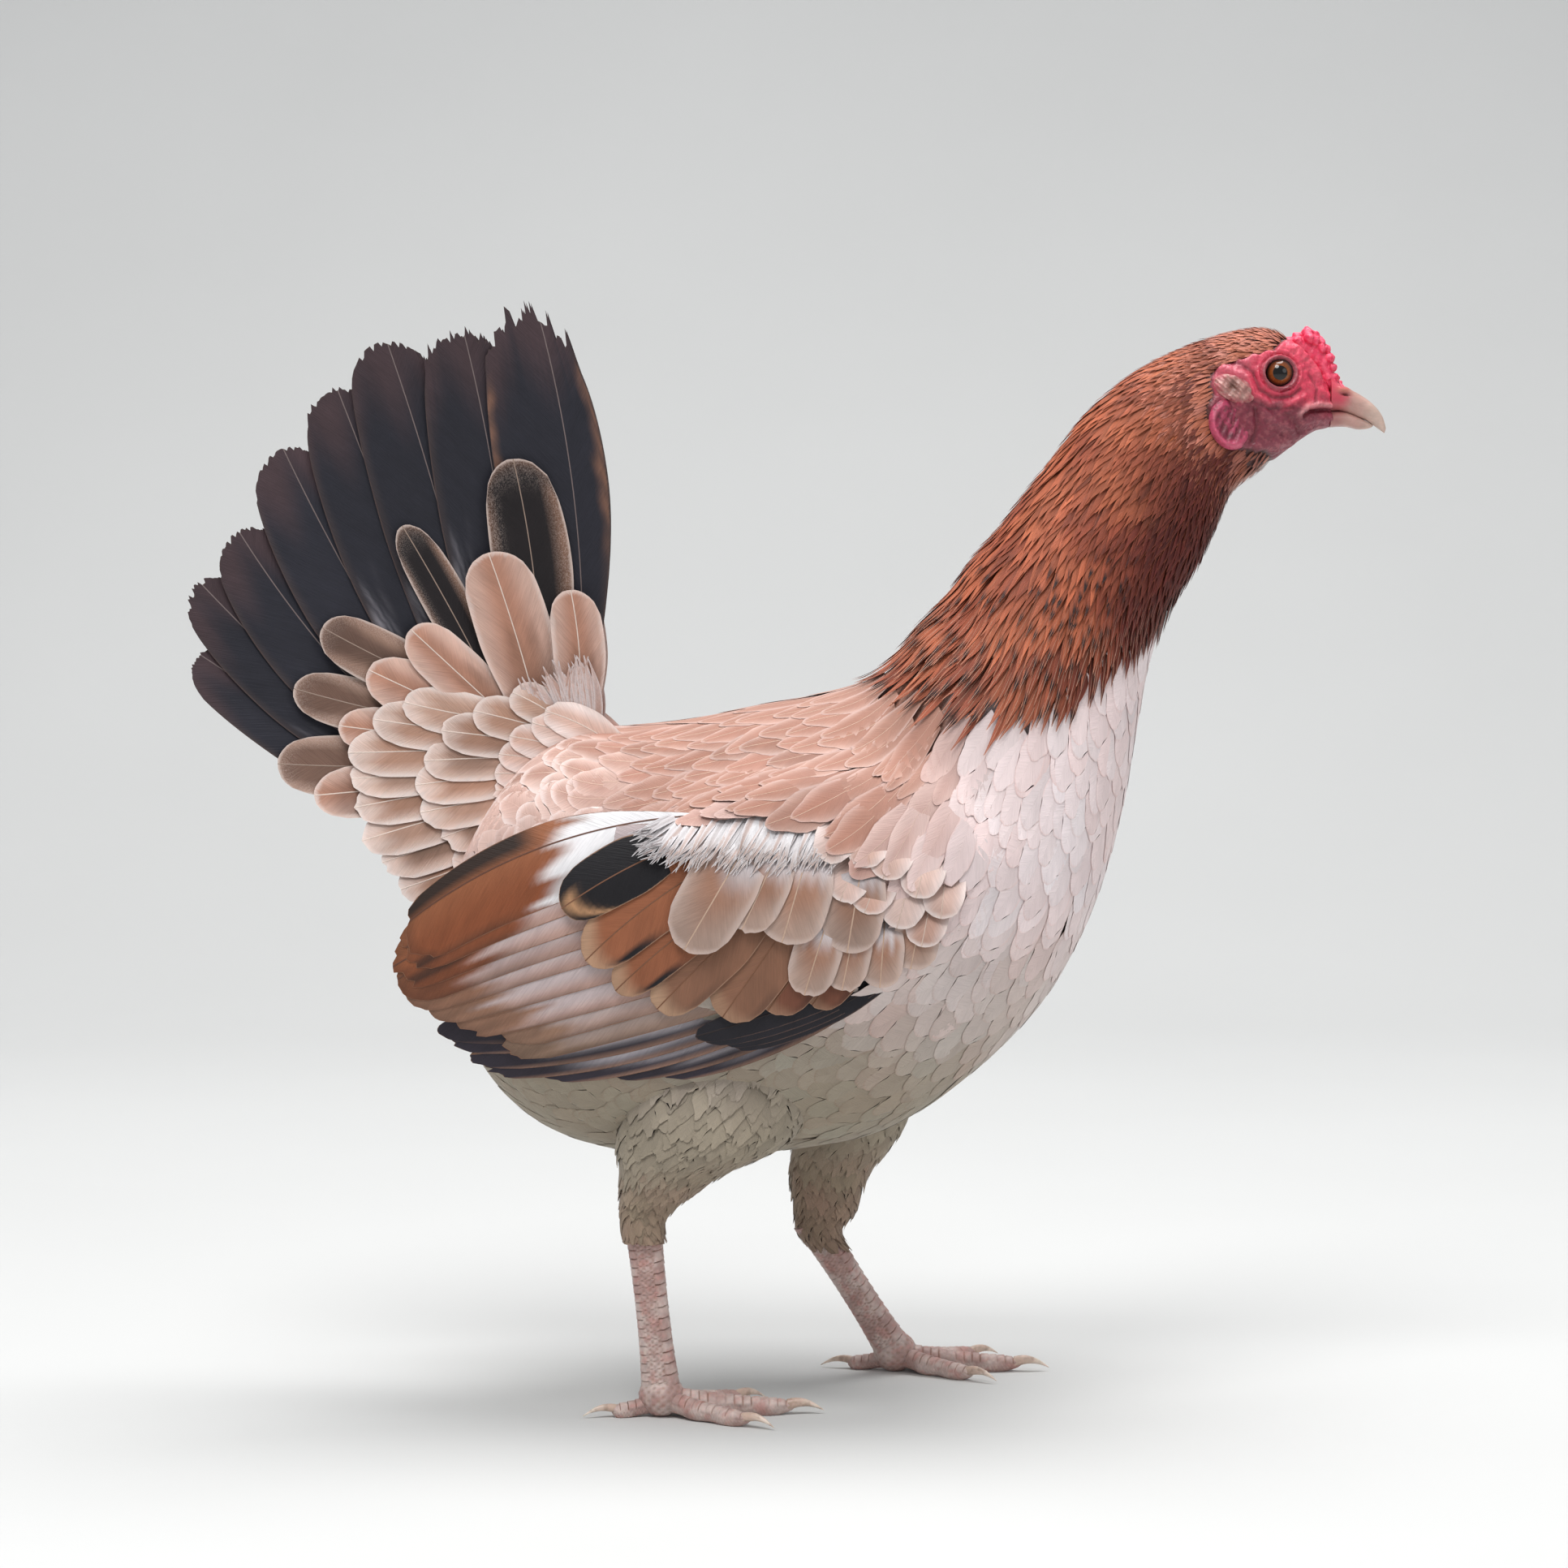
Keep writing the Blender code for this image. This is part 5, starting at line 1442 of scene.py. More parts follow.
def salmon_paint(s, v, i):
    """Salmon with a warmer middle, a little unlike from one to the next; some have a dusky,
    brownish middle, more of them low down."""
    warm = 0.5 + 0.5 * np.sin(2.4 * i + 1)
    colour = tone((0.42, 0.225, 0.150), (0.52, 0.325, 0.245), warm + 0 * s)
    tip = smooth(v + 0.04 * np.sin(9 * s + i), 0.72, 0.98)
    pale = np.maximum(smooth(np.abs(s), 0.35, 1.0) * 0.75, tip * 0.9)
    colour = tone(colour, (0.70, 0.55, 0.49), pale)
    share = np.where(i % 3 == 0, 0.75, 0.25) * smooth(i, -2, 6)
    dusky = share * smooth(v + 0.06 * np.sin(13 * s), 0.30, 0.55) * (1 - smooth(v, 0.72, 0.92))
    return tone(colour, (0.10, 0.058, 0.040), dusky * (1 - smooth(np.abs(s), 0.25, 0.85)))


def down_paint(s, v, i):
    """Greyish pink down, paler at its tips."""
    colour = tone((0.42, 0.26, 0.21), (0.56, 0.42, 0.385), smooth(v, 0.2, 0.8))
    return tone(colour, (0.48, 0.29, 0.23), np.where(i % 3 == 1, 0.7, 0.0) + 0 * s)


def pale_paint(s, v, i):
    """Pale salmon turning cream at the edge."""
    warm = 0.5 + 0.5 * np.sin(2.1 * i)
    colour = tone((0.60, 0.37, 0.29), (0.70, 0.49, 0.42), warm + 0 * s)
    return tone(colour, (0.82, 0.69, 0.65), smooth(np.abs(s) + 0.2 * v, 0.3, 1.0) * smooth(v, 0.2, 0.6))


CREAM_RIM, CREAM_SHAFT = (0.76, 0.64, 0.59), (0.80, 0.66, 0.58)
TIERS_OF_TAIL = (
    Tier("rectrix", RECTRIX_KEYS, 8, (54, 41), (0.4, 0.62, 0.84, 0.15, 0.034), -2.0, 1.6, rectrix_paint,
     (0.075, 0.050, 0.046), (0.20, 0.155, 0.15), (0.5, 0.26, 0.0), 0.12),
    Tier("dark_covert", DARK_COVERTS, 5, (30, 13), (0.5, 0.62, 0.9, 0.2, 0.01), 1.2, 1.0, dark_covert_paint,
     (0.56, 0.45, 0.40), (0.34, 0.25, 0.20), (1.1, 0.24, 0.42)),
    Tier("tall_covert", TALL_COVERTS, 6, (26, 13), (0.5, 0.6, 0.95, 0.22, 0.01), 3.0, 1.0, tall_covert_paint,
     (0.72, 0.56, 0.50), CREAM_SHAFT, (1.8, 0.26, 0.0)),
    Tier("low_covert", LOW_COVERT_KEYS, 9, (22, 11), (0.5, 0.6, 0.95, 0.24, 0.028), 4.6, 1.0, salmon_paint,
     CREAM_RIM, CREAM_SHAFT, (1.9, 0.26, 0.30)),
    Tier("near_covert", NEAR_COVERT_KEYS, 10, (20, 11), (0.5, 0.6, 0.95, 0.24, 0.028), 6.0, 1.0, salmon_paint,
     CREAM_RIM, CREAM_SHAFT, (2.0, 0.26, 0.0)),
    Tier("top_covert", TOP_COVERT_KEYS, 10, (16, 9), (0.5, 0.6, 0.9, 0.22, 0.02), 7.2, 0.9, pale_paint,
     (0.82, 0.68, 0.63), CREAM_SHAFT, (1.9, 0.26, 0.0), rise=0.5),
    Tier("tail_down", DOWN_KEYS, 44, (10, 5), (0.7, 0.4, 0.25, 0.12, 0.06), 5.6, 0.2, down_paint,
     (0.62, 0.54, 0.53), (0.5, 0.4, 0.38), (0.8, 0.0, 0.0), spread=3.6, rise=0.6),
)


def tail_root(x, z, layer):
    """A tail feather starts in its own layer."""
    return layer


def make_tail():
    """Both leaves of the tail: eight long feathers a side under five tiers of coverts, with down at
    the root."""
    nodes = (("tail",), ())
    return make_fans("tail_feathers", "tail_plumage", TIERS_OF_TAIL, leaf, tail_root, nodes)


# Head


def ball_of(theta, phi):
    """A unit ball, theta down from its top and phi round it."""
    return np.stack((np.sin(theta) * np.cos(phi), np.sin(theta) * np.sin(phi), np.cos(theta)), -1)


def round_flap(into, centre, halves, turn, side, relief, paint, depth, sink):
    """A closed round flap that follows the head: rings of rho = cos(theta) in side view, out from
    the head by depth times sin(theta), its outer face raised by a relief of rho and the angle.
    Its front half sinks into the cheek by sink."""
    theta, phi = cross_grid(64, 96, -math.pi / 2 + 0.04, math.pi / 2 - 0.04)
    rho = np.cos(theta)
    u, v = rho * halves[0] * np.cos(phi), rho * halves[1] * np.sin(phi)
    c, s = math.cos(turn), math.sin(turn)
    x, z = centre[0] + u * c - v * s, centre[2] + u * s + v * c
    front = smooth(np.sin(theta), 0, 0.3)
    y = head_side(x, z) + centre[1] + depth * np.sin(theta) + front * relief(rho, phi)
    y = y - sink * smooth(rho * np.cos(phi), -0.1, 0.8)
    points = np.stack((x, side * y, z), -1)
    into.tube(points, tint=rgba(paint(rho, phi, points)))


def head_side(x, z):
    """Half the head's width at places in side view: a mean of the head's own points, each with
    the weight of a bell of its way from the place."""
    t, angle = np.meshgrid(np.linspace(14.5, 20, 46), np.linspace(0.35, 2.8, 36), indexing="ij")
    near = body(t, angle).reshape(-1, 3)
    way = (x.reshape(-1, 1) - near[:, 0]) ** 2 + (z.reshape(-1, 1) - near[:, 2]) ** 2
    weight = np.exp(-way / 1.6**2) + 1e-12
    return ((weight @ np.abs(near[:, 1])) / weight.sum(1)).reshape(x.shape)


def lobe_relief(rho, phi):
    """Lumpy, with the ear's small hollow ahead of its middle."""
    u, v = rho * np.cos(phi), rho * np.sin(phi)
    hollow = bell(u + 0.12, 0.24) * bell(v - 0.1, 0.42)
    lumps = 0.5 * np.sin(5 * u + 1) * np.sin(6 * v)
    return lumps - 1.9 * hollow + 0.3 * np.sin(15 * u + 9 * v) * np.sin(11 * v - 4 * u)


def lobe_paint(rho, phi, points):
    """Cream with a pink edge, and dark brown painted shade in the ear's hollow."""
    u, v = rho * np.cos(phi), rho * np.sin(phi)
    hollow = bell(u + 0.12, 0.28) * bell(v - 0.1, 0.50)
    colour = tone((0.36, 0.165, 0.145), (0.42, 0.09, 0.11), smooth(rho, 0.55, 1))
    colour = tone(colour, (0.42, 0.20, 0.17), smooth(wave_noise(points, 4, 61), -0.1, 0.5) * 0.6)
    colour = tone(colour, (0.50, 0.32, 0.27), smooth(wave_noise(points, 3.2, 62), 0.1, 0.5) * 0.45)
    # Painted shade: the ear's hollow darkened to dark brown.
    return tone(colour, (0.12, 0.05, 0.035), hollow * 0.9)


def wattle_relief(rho, phi):
    """A curled rim, fullest behind and below, round a hollow with fine pleats across."""
    low = 0.5 - 0.5 * np.cos(phi - 0.9)
    rim = 2.2 * bell(rho - 0.80, 0.15) * low
    pleats = 0.35 * np.sin(20 * rho * np.sin(phi - 0.7)) * smooth(1 - rho, 0.1, 0.5)
    return rim - 1.5 * (1 - smooth(rho, 0.1, 0.75)) + pleats


def wattle_paint(rho, phi, points):
    """Wine red, darker in the hollow by painted shade, with a bright pink painted highlight along the
    rim, both fullest behind and below.
    """
    low = 0.5 - 0.5 * np.cos(phi - 0.9)
    colour = tone((0.36, 0.035, 0.085), (0.16, 0.018, 0.035), smooth(wave_noise(points, 3, 71), -0.2, 0.5))
    # Painted shade in the hollow, fullest behind and below.
    colour = tone(colour, (0.10, 0.012, 0.022), bell(rho - 0.5, 0.18) * low * 0.7)
    # Painted highlight: bright pink along the rim.
    return tone(colour, (0.62, 0.10, 0.18), bell(rho - 0.86, 0.16) * low * 0.9)


def make_face():
    """Ear lobes and wattle folds on both sides."""
    made = []
    for side, end in SIDES:
        finish = once("bare_skin", skin_finish)
        lobe = Mesh()
        round_flap(lobe, (169.6, 0.2, 385.4), (8.3, 4.9), -0.42, side, lobe_relief, lobe_paint, 2.2, 0.6)
        made.append(lobe.build(f"lobe_{end}", finish, "lobe_skin", (f"earlobe_{end}",)))
        fold = Mesh()
        round_flap(fold, (168, 0.3, 372.0), (8.2, 9.8), 0.35, side, wattle_relief, wattle_paint, 1.7, 2.6)
        made.append(fold.build(f"wattle_fold_{end}", finish, "face_skin", (f"wattle_{end}",)))
    return made


# The comb's ridge from back to front: x, z and how high its bumps stand.
COMB_RIDGE = (
    (193, 403.0, 1.6),
    (198, 403.6, 3.6),
    (202.8, 400.6, 3.2),
    (206.6, 395.8, 2.0),
    (209.2, 390.5, 0.8),
    (212, 386, 0.2),
)
COMB_LEAN = np.array((0.5, 0, 0.86))


def make_comb():
    """The pea comb: balls in three rows along a ridge with smaller ones on them, all made one
    surface by a fine remesh."""
    draw = np.random.default_rng(81)
    gathered = Mesh()
    ball = ball_of(*cross_grid(8, 12, 0.15, math.pi - 0.15))
    for aside, count, size in ((0, 9, 2.4), (3.2, 8, 2.1), (-3.2, 8, 2.1), (0, 18, 4.6)):
        for k in range(count):
            share = (k + 0.5) / count
            x, z, height = spline(COMB_RIDGE, share * (len(COMB_RIDGE) - 1))
            lift = height * (1 - abs(aside) / 8) if size < 3 else -2.4
            radius = size * (1 - 0.45 * share) * draw.uniform(0.85, 1.15)
            centre = np.array((x, aside * (1 - 0.45 * share), z)) + COMB_LEAN * lift + draw.normal(0, 0.3, 3)
            gathered.tube(centre + ball * radius)
            for _ in range(4 if size < 3 else 0):
                way = unit(draw.normal(size=3) + np.array((0.6, 0.5 * np.sign(aside), 0.9)))
                gathered.tube(centre + way * radius * 0.8 + ball * radius * 0.42)
    comb = gathered.build("pea_comb", once("bare_skin", skin_finish), "face_skin", ("comb",))
    remesh = comb.modifiers.new("one surface", "REMESH")
    remesh.mode, remesh.voxel_size, remesh.use_smooth_shade = "VOXEL", 0.32 * MM, True
    soft = comb.modifiers.new("soft", "SMOOTH")
    soft.factor, soft.iterations = 0.5, 3
    graph = bpy.context.evaluated_depsgraph_get()
    mesh = bpy.data.meshes.new_from_object(comb.evaluated_get(graph))
    comb.modifiers.clear()
    comb.data = mesh
    points = np.empty(len(mesh.vertices) * 3)
    mesh.vertices.foreach_get("co", points)
    points = points.reshape(-1, 3) / MM
    colour = tone(chosen("comb"), (0.84, 0.095, 0.17), smooth(wave_noise(points, 3, 83), -0.4, 0.5))
    for name in [a.name for a in mesh.attributes if a.name == "tint"]:
        mesh.attributes.remove(mesh.attributes[name])
    layer = mesh.attributes.new("tint", "FLOAT_COLOR", "POINT")
    layer.data.foreach_set("color", rgba(colour).ravel())
    mesh.shade_smooth()
    if not mesh.materials:
        mesh.materials.append(once("bare_skin", skin_finish))
    return comb


def make_eyes():
    """Eyeballs turned about their own axis: a ball with the cornea's low dome on it, and its way
    from the axis kept at each point."""
    made = []
    for side, end in SIDES:
        gathered = Mesh()
        theta, phi = cross_grid(90, 96, 0.02, math.pi - 0.02)
        away = EYE_RADIUS * np.sin(theta)
        out = EYE_RADIUS * np.cos(theta)
        dome = np.where(out > 0, 0.45 * np.clip(1 - (away / IRIS_RADIUS) ** 2, 0, 1), 0)
        y = side * (EYE[1] + out + dome)
        points = np.stack((EYE[0] + away * np.cos(phi), y, EYE[2] + away * np.sin(phi)), -1)
        gathered.tube(points, ring=away, turn=np.stack((np.cos(phi), np.sin(phi), 0 * phi), -1))
        made.append(gathered.build(f"eyeball_{end}", once("wet_eye", eye_finish), "eye", (f"eye_{end}",)))
    return made


def eye_finish(name):
    """Wet eye: black pupil, orange iris with fibres and a darker outer ring, all by the way from
    the axis, and painted shade over the upper part of the iris, as under the brow."""
    made = Finish(name, roughness=0.08, coat_weight=1.0, coat_roughness=0.03)
    made.shader.inputs["Specular IOR Level"].default_value = 0.0
    ring = made.attribute("ring", "Fac")
    fibres = made.noise(made.attribute("turn", "Vector"), 9.0, 4.0, 0.6)
    fibres = fibres + (made.noise(made.position(), 900.0, 2.0) - 0.5) * 0.5
    iris = made.mix(fibres, (0.12, 0.026, 0.006), chosen("iris"))
    # Painted shade: the upper part of the iris darkened, as under the brow.
    _, shaded, _ = made.parts(made.attribute("turn", "Vector"))
    iris = made.mix(shaded.step(-0.2, 0.8) * 0.55, iris, (0.07, 0.022, 0.010))
    iris = made.mix(ring.step(3.5, 4.4), iris, (0.12, 0.03, 0.010))
    iris = made.mix(1 - ring.step(2.5, 3.2), iris, (0.20, 0.055, 0.012))
    colour = made.mix(1 - ring.step(2.6, 2.85), iris, (0.004, 0.003, 0.003))
    colour = made.mix(ring.step(4.35, 4.7), colour, (0.03, 0.016, 0.014))
    made.set(base_color=colour)
    return made.material


BEAK_UPPER = (
    (207.5, 390.2, 207.5, 377.5, 7.2),
    (210.5, 388.4, 209.5, 377.6, 6.7),
    (213, 386.8, 211.5, 377.6, 6.1),
    (218.5, 384.2, 216, 376.2, 4.7),
    (224, 380.4, 221.5, 374, 3.3),
    (227.6, 376, 225.8, 371.2, 1.9),
    (229.2, 371.2, 228.6, 369.2, 0.5),
)
BEAK_LOWER = (
    (207.5, 377.6, 207.5, 371.4, 6.2),
    (213.5, 377.4, 213.5, 371.6, 4.8),
    (218.5, 375.4, 218.5, 370.6, 3.4),
    (222.4, 373.4, 222.2, 370.9, 1.5),
    (224.4, 372.4, 224.0, 371.6, 0.35),
)
NOSTRIL = (212.6, 384.4)


def beak_relief(points):
    """A slit nostril under a small pink lid, and a faint step where the horn begins."""
    dx, dz = points[..., 0] - NOSTRIL[0], points[..., 2] - NOSTRIL[1]
    side = smooth(np.abs(points[..., 1]), 1.5, 3)
    lid = 0.8 * bell(dx, 3.2) * bell(dz - 0.9, 1.5)
    slit = -1.3 * bell(dx - 0.3, 1.7) * bell(dz + 0.7 + 0.15 * dx, 0.5)
    edge = 0.25 * (1 - smooth(points[..., 0] + 0.7 * dz, 212, 213.4))
    return (lid + slit) * side + edge


def beak_paint(points):
    """Red skin at the root, then pinkish horn that pales to the tip, browner along the culmen, and
    painted shade in the nostril's slit.
    """
    x, y, z = np.moveaxis(points, -1, 0)
    dx, dz = x - NOSTRIL[0], z - NOSTRIL[1]
    root = 1 - smooth(x - (z - 381) * 0.25 + wave_noise(points, 5, 91) * 0.8, 211.0, 216.5)
    horn = tone((0.48, 0.27, 0.23), (0.58, 0.43, 0.36), smooth(x, 216, 227))
    culmen = bell(y, 1.6) * smooth(z - 372 - (229 - x) * 0.75, -1, 3)
    horn = tone(horn, (0.36, 0.19, 0.14), culmen * 0.6)
    skin = tone((0.56, 0.055, 0.092), (0.38, 0.16, 0.145), smooth(-z, -382, -376))
    # Painted shade in the nostril's slit.
    nostril_shade = bell(dx - 0.3, 1.9) * bell(dz + 0.7 + 0.15 * dx, 0.6) * smooth(np.abs(y), 1.5, 3)
    colour = tone(tone(horn, skin, root), (0.42, 0.19, 0.12), bell(dx, 3.0) * bell(dz - 0.9, 1.3) * 0.7)
    return tone(colour, (0.10, 0.02, 0.02), nostril_shade * 0.9)


def make_beak():
    """Both halves of the beak as tubes between their upper and lower lines."""
    made = []
    halves = (("beak_top", BEAK_UPPER, "beak_upper"), ("beak_bottom", BEAK_LOWER, "beak_lower"))
    for name, rows, node in halves:
        gathered = Mesh()
        t, angle = cross_grid(120, 120, 0, len(rows) - 1)

        def surface(t, angle, rows=rows):
            """A half's squarish tube."""
            return tube(rows, t, angle, 0.0, 2.35)

        points = surface(t, angle)
        normal = outward(surface, np.minimum(t, len(rows) - 1.03), angle)
        if name == "beak_top":
            points = points + normal * beak_relief(points)[..., None]
        gathered.tube(points, tint=rgba(beak_paint(points)))
        made.append(gathered.build(name, once("satin_horn", horn_finish), "beak_horn", (node,)))
    return made


def horn_finish(name):
    """Horn: the mesh's tint with fine growth lines and a satin gloss."""
    made = Finish(name, roughness=0.34, subsurface_weight=0.1, subsurface_scale=0.001)
    place = made.position()
    x, y, z = made.parts(place)
    lines = made.noise(made.join(x * 260, y * 260, z * 1300), 1.0, 4.0, 0.6)
    blots = made.noise(place, 320.0, 4.0, 0.6)
    light = (lines - 0.5) * 0.25 + (blots - 0.5) * 0.45 + 1
    colour = made.lit(made.attribute("tint"), light)
    made.set(base_color=colour, roughness=(blots - 0.5) * 0.35 + 0.36)
    return made.bump(lines + blots, 0.3, 0.0003)


# Legs


def plates(share, count, offset=0.0):
    """Overlapping scutes: each rises over its own length and ends in a step to the next one."""
    q = share * count + offset
    part = q - np.floor(q)
    return 0.25 + 0.75 * part - 1.25 * (1 - smooth(part, 0, 0.14))


def shank_relief(share, turn):
    """Two staggered columns of big scutes down the front, two smaller ones behind, and little
    round scales on the sides. Turn 0 is the front."""
    turn = np.mod(turn + np.pi, 2 * np.pi) - np.pi
    left = turn > 0
    front = plates(share + 0.004 * np.cos(3 * turn), 17, np.where(left, 0.5, 0.0))
    back = plates(share, 22, np.where(left, 0.45, 0.0))
    at_front, at_back = 1 - smooth(np.abs(turn), 1.05, 1.2), smooth(np.abs(turn), 2.15, 2.3)
    sides = np.cos(share * 2 * np.pi * 26) * np.cos(turn * 14 + 3.1 * np.floor(share * 26)) * 0.6
    wander = 0.05 * np.sin(share * 53)
    seam = 0.6 * bell(turn - wander, 0.07) + bell(np.abs(turn) - 1.12 - wander, 0.08)
    height = front * at_front + back * 0.8 * at_back + sides * (1 - at_front) * (1 - at_back)
    return 0.52 * height - 0.30 * seam


def leg_tint(points, height):
    """Flesh pink and cream scales, dusky in the grooves, rosier between the scutes."""
    drift = wave_noise(points, 14, 101)
    colour = tone((0.44, 0.285, 0.255), chosen("legs"), smooth(drift, -0.5, 0.5))
    colour = tone(colour, (0.50, 0.24, 0.21), smooth(wave_noise(points, 6, 103), 0.1, 0.6) * 0.5)
    return tone(colour, (0.30, 0.17, 0.12), (1 - smooth(height, -0.45, 0.02)) * 0.75)


def grounded(points):
    """Presses points that would pass the ground back onto it."""
    points[..., 2] = np.maximum(points[..., 2], 0)
    return points


# Toes: name, heading in degrees from +X towards the bird's outside, length, radius, scutes.
TOES = (
    ("middle", -2, 50, 4.5, 15),
    ("inner", -36, 37, 4.2, 11),
    ("outer", 34, 40, 4.1, 13),
    ("hind", 168, 19, 3.6, 6),
)
CLAW_LENGTH = 11
UP = np.array((0, 0, 1))


def make_legs():
    """Each leg's scaled part: the shank, the ball of the foot and four toes."""
    made = []
    for side, end in SIDES:
        gathered = Mesh()
        top, foot = (np.array((x, side * y, z)) for x, y, z in SHANKS[side])
        axis = unit(foot - top)
        across = unit(np.cross(axis, (1.0, 0.0, 0.0))) * side
        ahead = np.cross(across, axis)
        ahead = ahead * np.sign(ahead[0])
        share, turn = cross_grid(330, 72, 0, 1)
        swell = 1 + 0.3 * (1 - share) ** 4 + 0.3 * share**5
        height = shank_relief(share, turn)
        raised = height + 0.1
        out = (
            ahead * (np.cos(turn) * (5.6 * swell + raised))[..., None]
            + across * (np.sin(turn) * (5.0 * swell + raised))[..., None]
        )
        centre = top - axis * 7 + (foot - top + axis * 7) * share[..., None]
        points = grounded(centre + out)
        gathered.tube(points, tint=rgba(leg_tint(points, height)))
        theta, phi = cross_grid(60, 80, 0.03, math.pi - 0.03)
        ball = ball_of(theta, phi)
        knobs = 0.3 * np.cos(phi * 13) * np.cos(theta * 15)
        points = grounded(foot + ball * np.array((8.6, 8.2, 7.9)) * (1 + knobs / 16)[..., None])
        gathered.tube(points, tint=rgba(leg_tint(points, knobs)))
        for _, heading, length, radius, scutes in TOES:
            share, turn = cross_grid(124, 48, 0, 1)
            angle = math.radians(heading)
            way = np.array((math.cos(angle), side * math.sin(angle), 0))
            beside = np.array((-way[1], way[0], 0))
            end_cap = np.sqrt(np.clip(1 - (np.clip(share - 0.80, 0, 1) / 0.202) ** 2, 0.02, 1))
            thick = radius * (1 - 0.28 * share) * end_cap
            pads = 0.10 * np.cos(share * 2 * np.pi * (2.6 if length > 30 else 1.3)) * radius
            upper = smooth(np.cos(turn), 0.1, 0.35)
            scute = plates(share, scutes) * 0.4
            knobs = 0.16 * np.cos(share * scutes * 15) * np.cos(turn * 9)
            height = scute * upper + knobs * (1 - upper)
            centre = np.array((foot[0], foot[1], 0)) + way * (1 + (length - 1) * share)[..., None]
            level = (1 - 0.28 * share) * (0.8 + 0.1 * smooth(share, 0.8, 1))
            centre[..., 2] = radius * (level + 0.75 * (1 - share) ** 2.5)
            reach = thick + (height + pads * (1 - upper)) * end_cap
            out = beside * (np.sin(turn) * reach)[..., None] + UP * (np.cos(turn) * reach)[..., None]
            points = grounded(centre + out)
            gathered.tube(points, tint=rgba(leg_tint(points, height)))
        nodes = [f"shank_{end}"] + [f"toe_{end}_{toe[0]}" for toe in TOES]
        finish = once("leg_scales", scale_finish)
        made.append(gathered.build(f"scaled_leg_{end}", finish, "leg_scale", nodes))
    return made


def scale_finish(name):
    """Leg scales: the mesh's tint with small cells and dust, satin."""
    made = Finish(name, roughness=0.5, subsurface_weight=0.08, subsurface_scale=0.0015)
    place = made.position()
    cells = made.cells(place, 620.0)
    dust = made.noise(place, 260.0, 5.0, 0.65)
    light = (cells - 0.4) * -0.22 + (dust - 0.5) * 0.6 + 1.0
    colour = made.lit(made.attribute("tint"), light)
    colour = made.mix(dust.step(0.58, 0.75) * 0.3, colour, (0.42, 0.33, 0.26))
    made.set(base_color=colour, roughness=(dust - 0.5) * 0.5 + 0.52)
    return made.bump(dust - cells * 0.5, 0.4, 0.0004)


def make_claws():
    """Curved claws: a tapering tube along a low arc, flattened below."""
    made = []
    for side, end in SIDES:
        gathered = Mesh()
        fx, fy, _ = SHANKS[side][1]
        for _, heading, length, radius, _ in TOES:
            share, turn = cross_grid(40, 28, 0, 1)
            angle = math.radians(heading)
            way = np.array((math.cos(angle), side * math.sin(angle), 0))
            beside = np.array((-way[1], way[0], 0))
            centre = np.array((fx, side * fy, 0)) + way * (length - 3 + (CLAW_LENGTH + 3) * share)[..., None]
            centre[..., 2] = radius * 0.72 + 1.5 * np.sin(math.pi * share * 0.9) - 2.2 * share**2
            thick = radius * 0.56 * (1 - 0.93 * share**1.5)
            lines = 0.03 * np.sin(share * 60)
            flat = 1 - 0.3 * smooth(-np.cos(turn), 0.2, 0.8)
            out = beside * (np.sin(turn) * 0.8)[..., None] + UP * (np.cos(turn) * flat)[..., None]
            points = grounded(centre + out * (thick + lines)[..., None])
            colour = tone((0.58, 0.42, 0.34), chosen("claws"), smooth(share, 0.2, 0.9))
            colour = tone(colour, (0.30, 0.19, 0.14), smooth(wave_noise(points, 5, 111), 0, 0.6) * 0.5)
            gathered.tube(points, tint=rgba(colour))
        nodes = [f"claw_{end}_{toe[0]}" for toe in TOES]
        made.append(gathered.build(f"claws_{end}", once("satin_horn", horn_finish), "claw_horn", nodes))
    return made


# Stage


def floor_finish(name):
    """Plain pale floor: nearly white with the faintest clouding."""
    made = Finish(name, roughness=0.75)
    clouds = made.noise(made.position(), 3.0, 3.0)
    made.set(base_color=made.mix(clouds, (0.60, 0.60, 0.59), (0.64, 0.64, 0.63)))
    return made.bump(made.noise(made.position(), 400.0, 2.0), 0.05, 0.0005)


# Lights: name, place and aim in metres, width in metres and power in watts.
LIGHTS = (
    ("key", (-0.5, -1.2, 2.3), (0.0, 0.0, 0.2), 1.2, 36.0),
    ("top", (0.2, 0.35, 2.4), (0.0, 0.0, 0.2), 1.6, 50.0),
    ("fill", (1.7, -1.6, 1.1), (0.0, 0.0, 0.22), 1.4, 6.0),
)
SKY_COLOUR, SKY_STRENGTH = (0.93, 0.96, 1.0, 1), 0.42
CAMERA_PLACE, CAMERA_DIP = (0, -1.6, 0.324), 3.17
SENSOR_WIDTH, LENS = 36, 96.15
FLOOR_RUN, FLOOR_WIDTH, BEND_START = (-3.2, 3.6), 4, 1.2


def make_floor():
    """A pale sheet, level under the bird; past the bend's start it rises by half the square of the
    way from there."""
    rows, columns = 90, 9
    run, width = np.linspace(*FLOOR_RUN, rows), np.linspace(-FLOOR_WIDTH, FLOOR_WIDTH, columns)
    y, x = np.meshgrid(run, width, indexing="ij")
    points = np.stack((x, y, 0.5 * np.clip(y - BEND_START, 0, None) ** 2), -1)
    index = np.arange(rows * columns).reshape(rows, columns)
    quads = np.stack((index[:-1, :-1], index[:-1, 1:], index[1:, 1:], index[1:, :-1]), -1)
    mesh = bpy.data.meshes.new("floor")
    mesh.from_pydata(points.reshape(-1, 3).tolist(), [], quads.reshape(-1, 4).tolist())
    mesh.shade_smooth()
    mesh.materials.append(once("studio_floor", floor_finish))
    floor = bpy.data.objects.new("floor", mesh)
    bpy.context.scene.collection.objects.link(floor)
    return floor


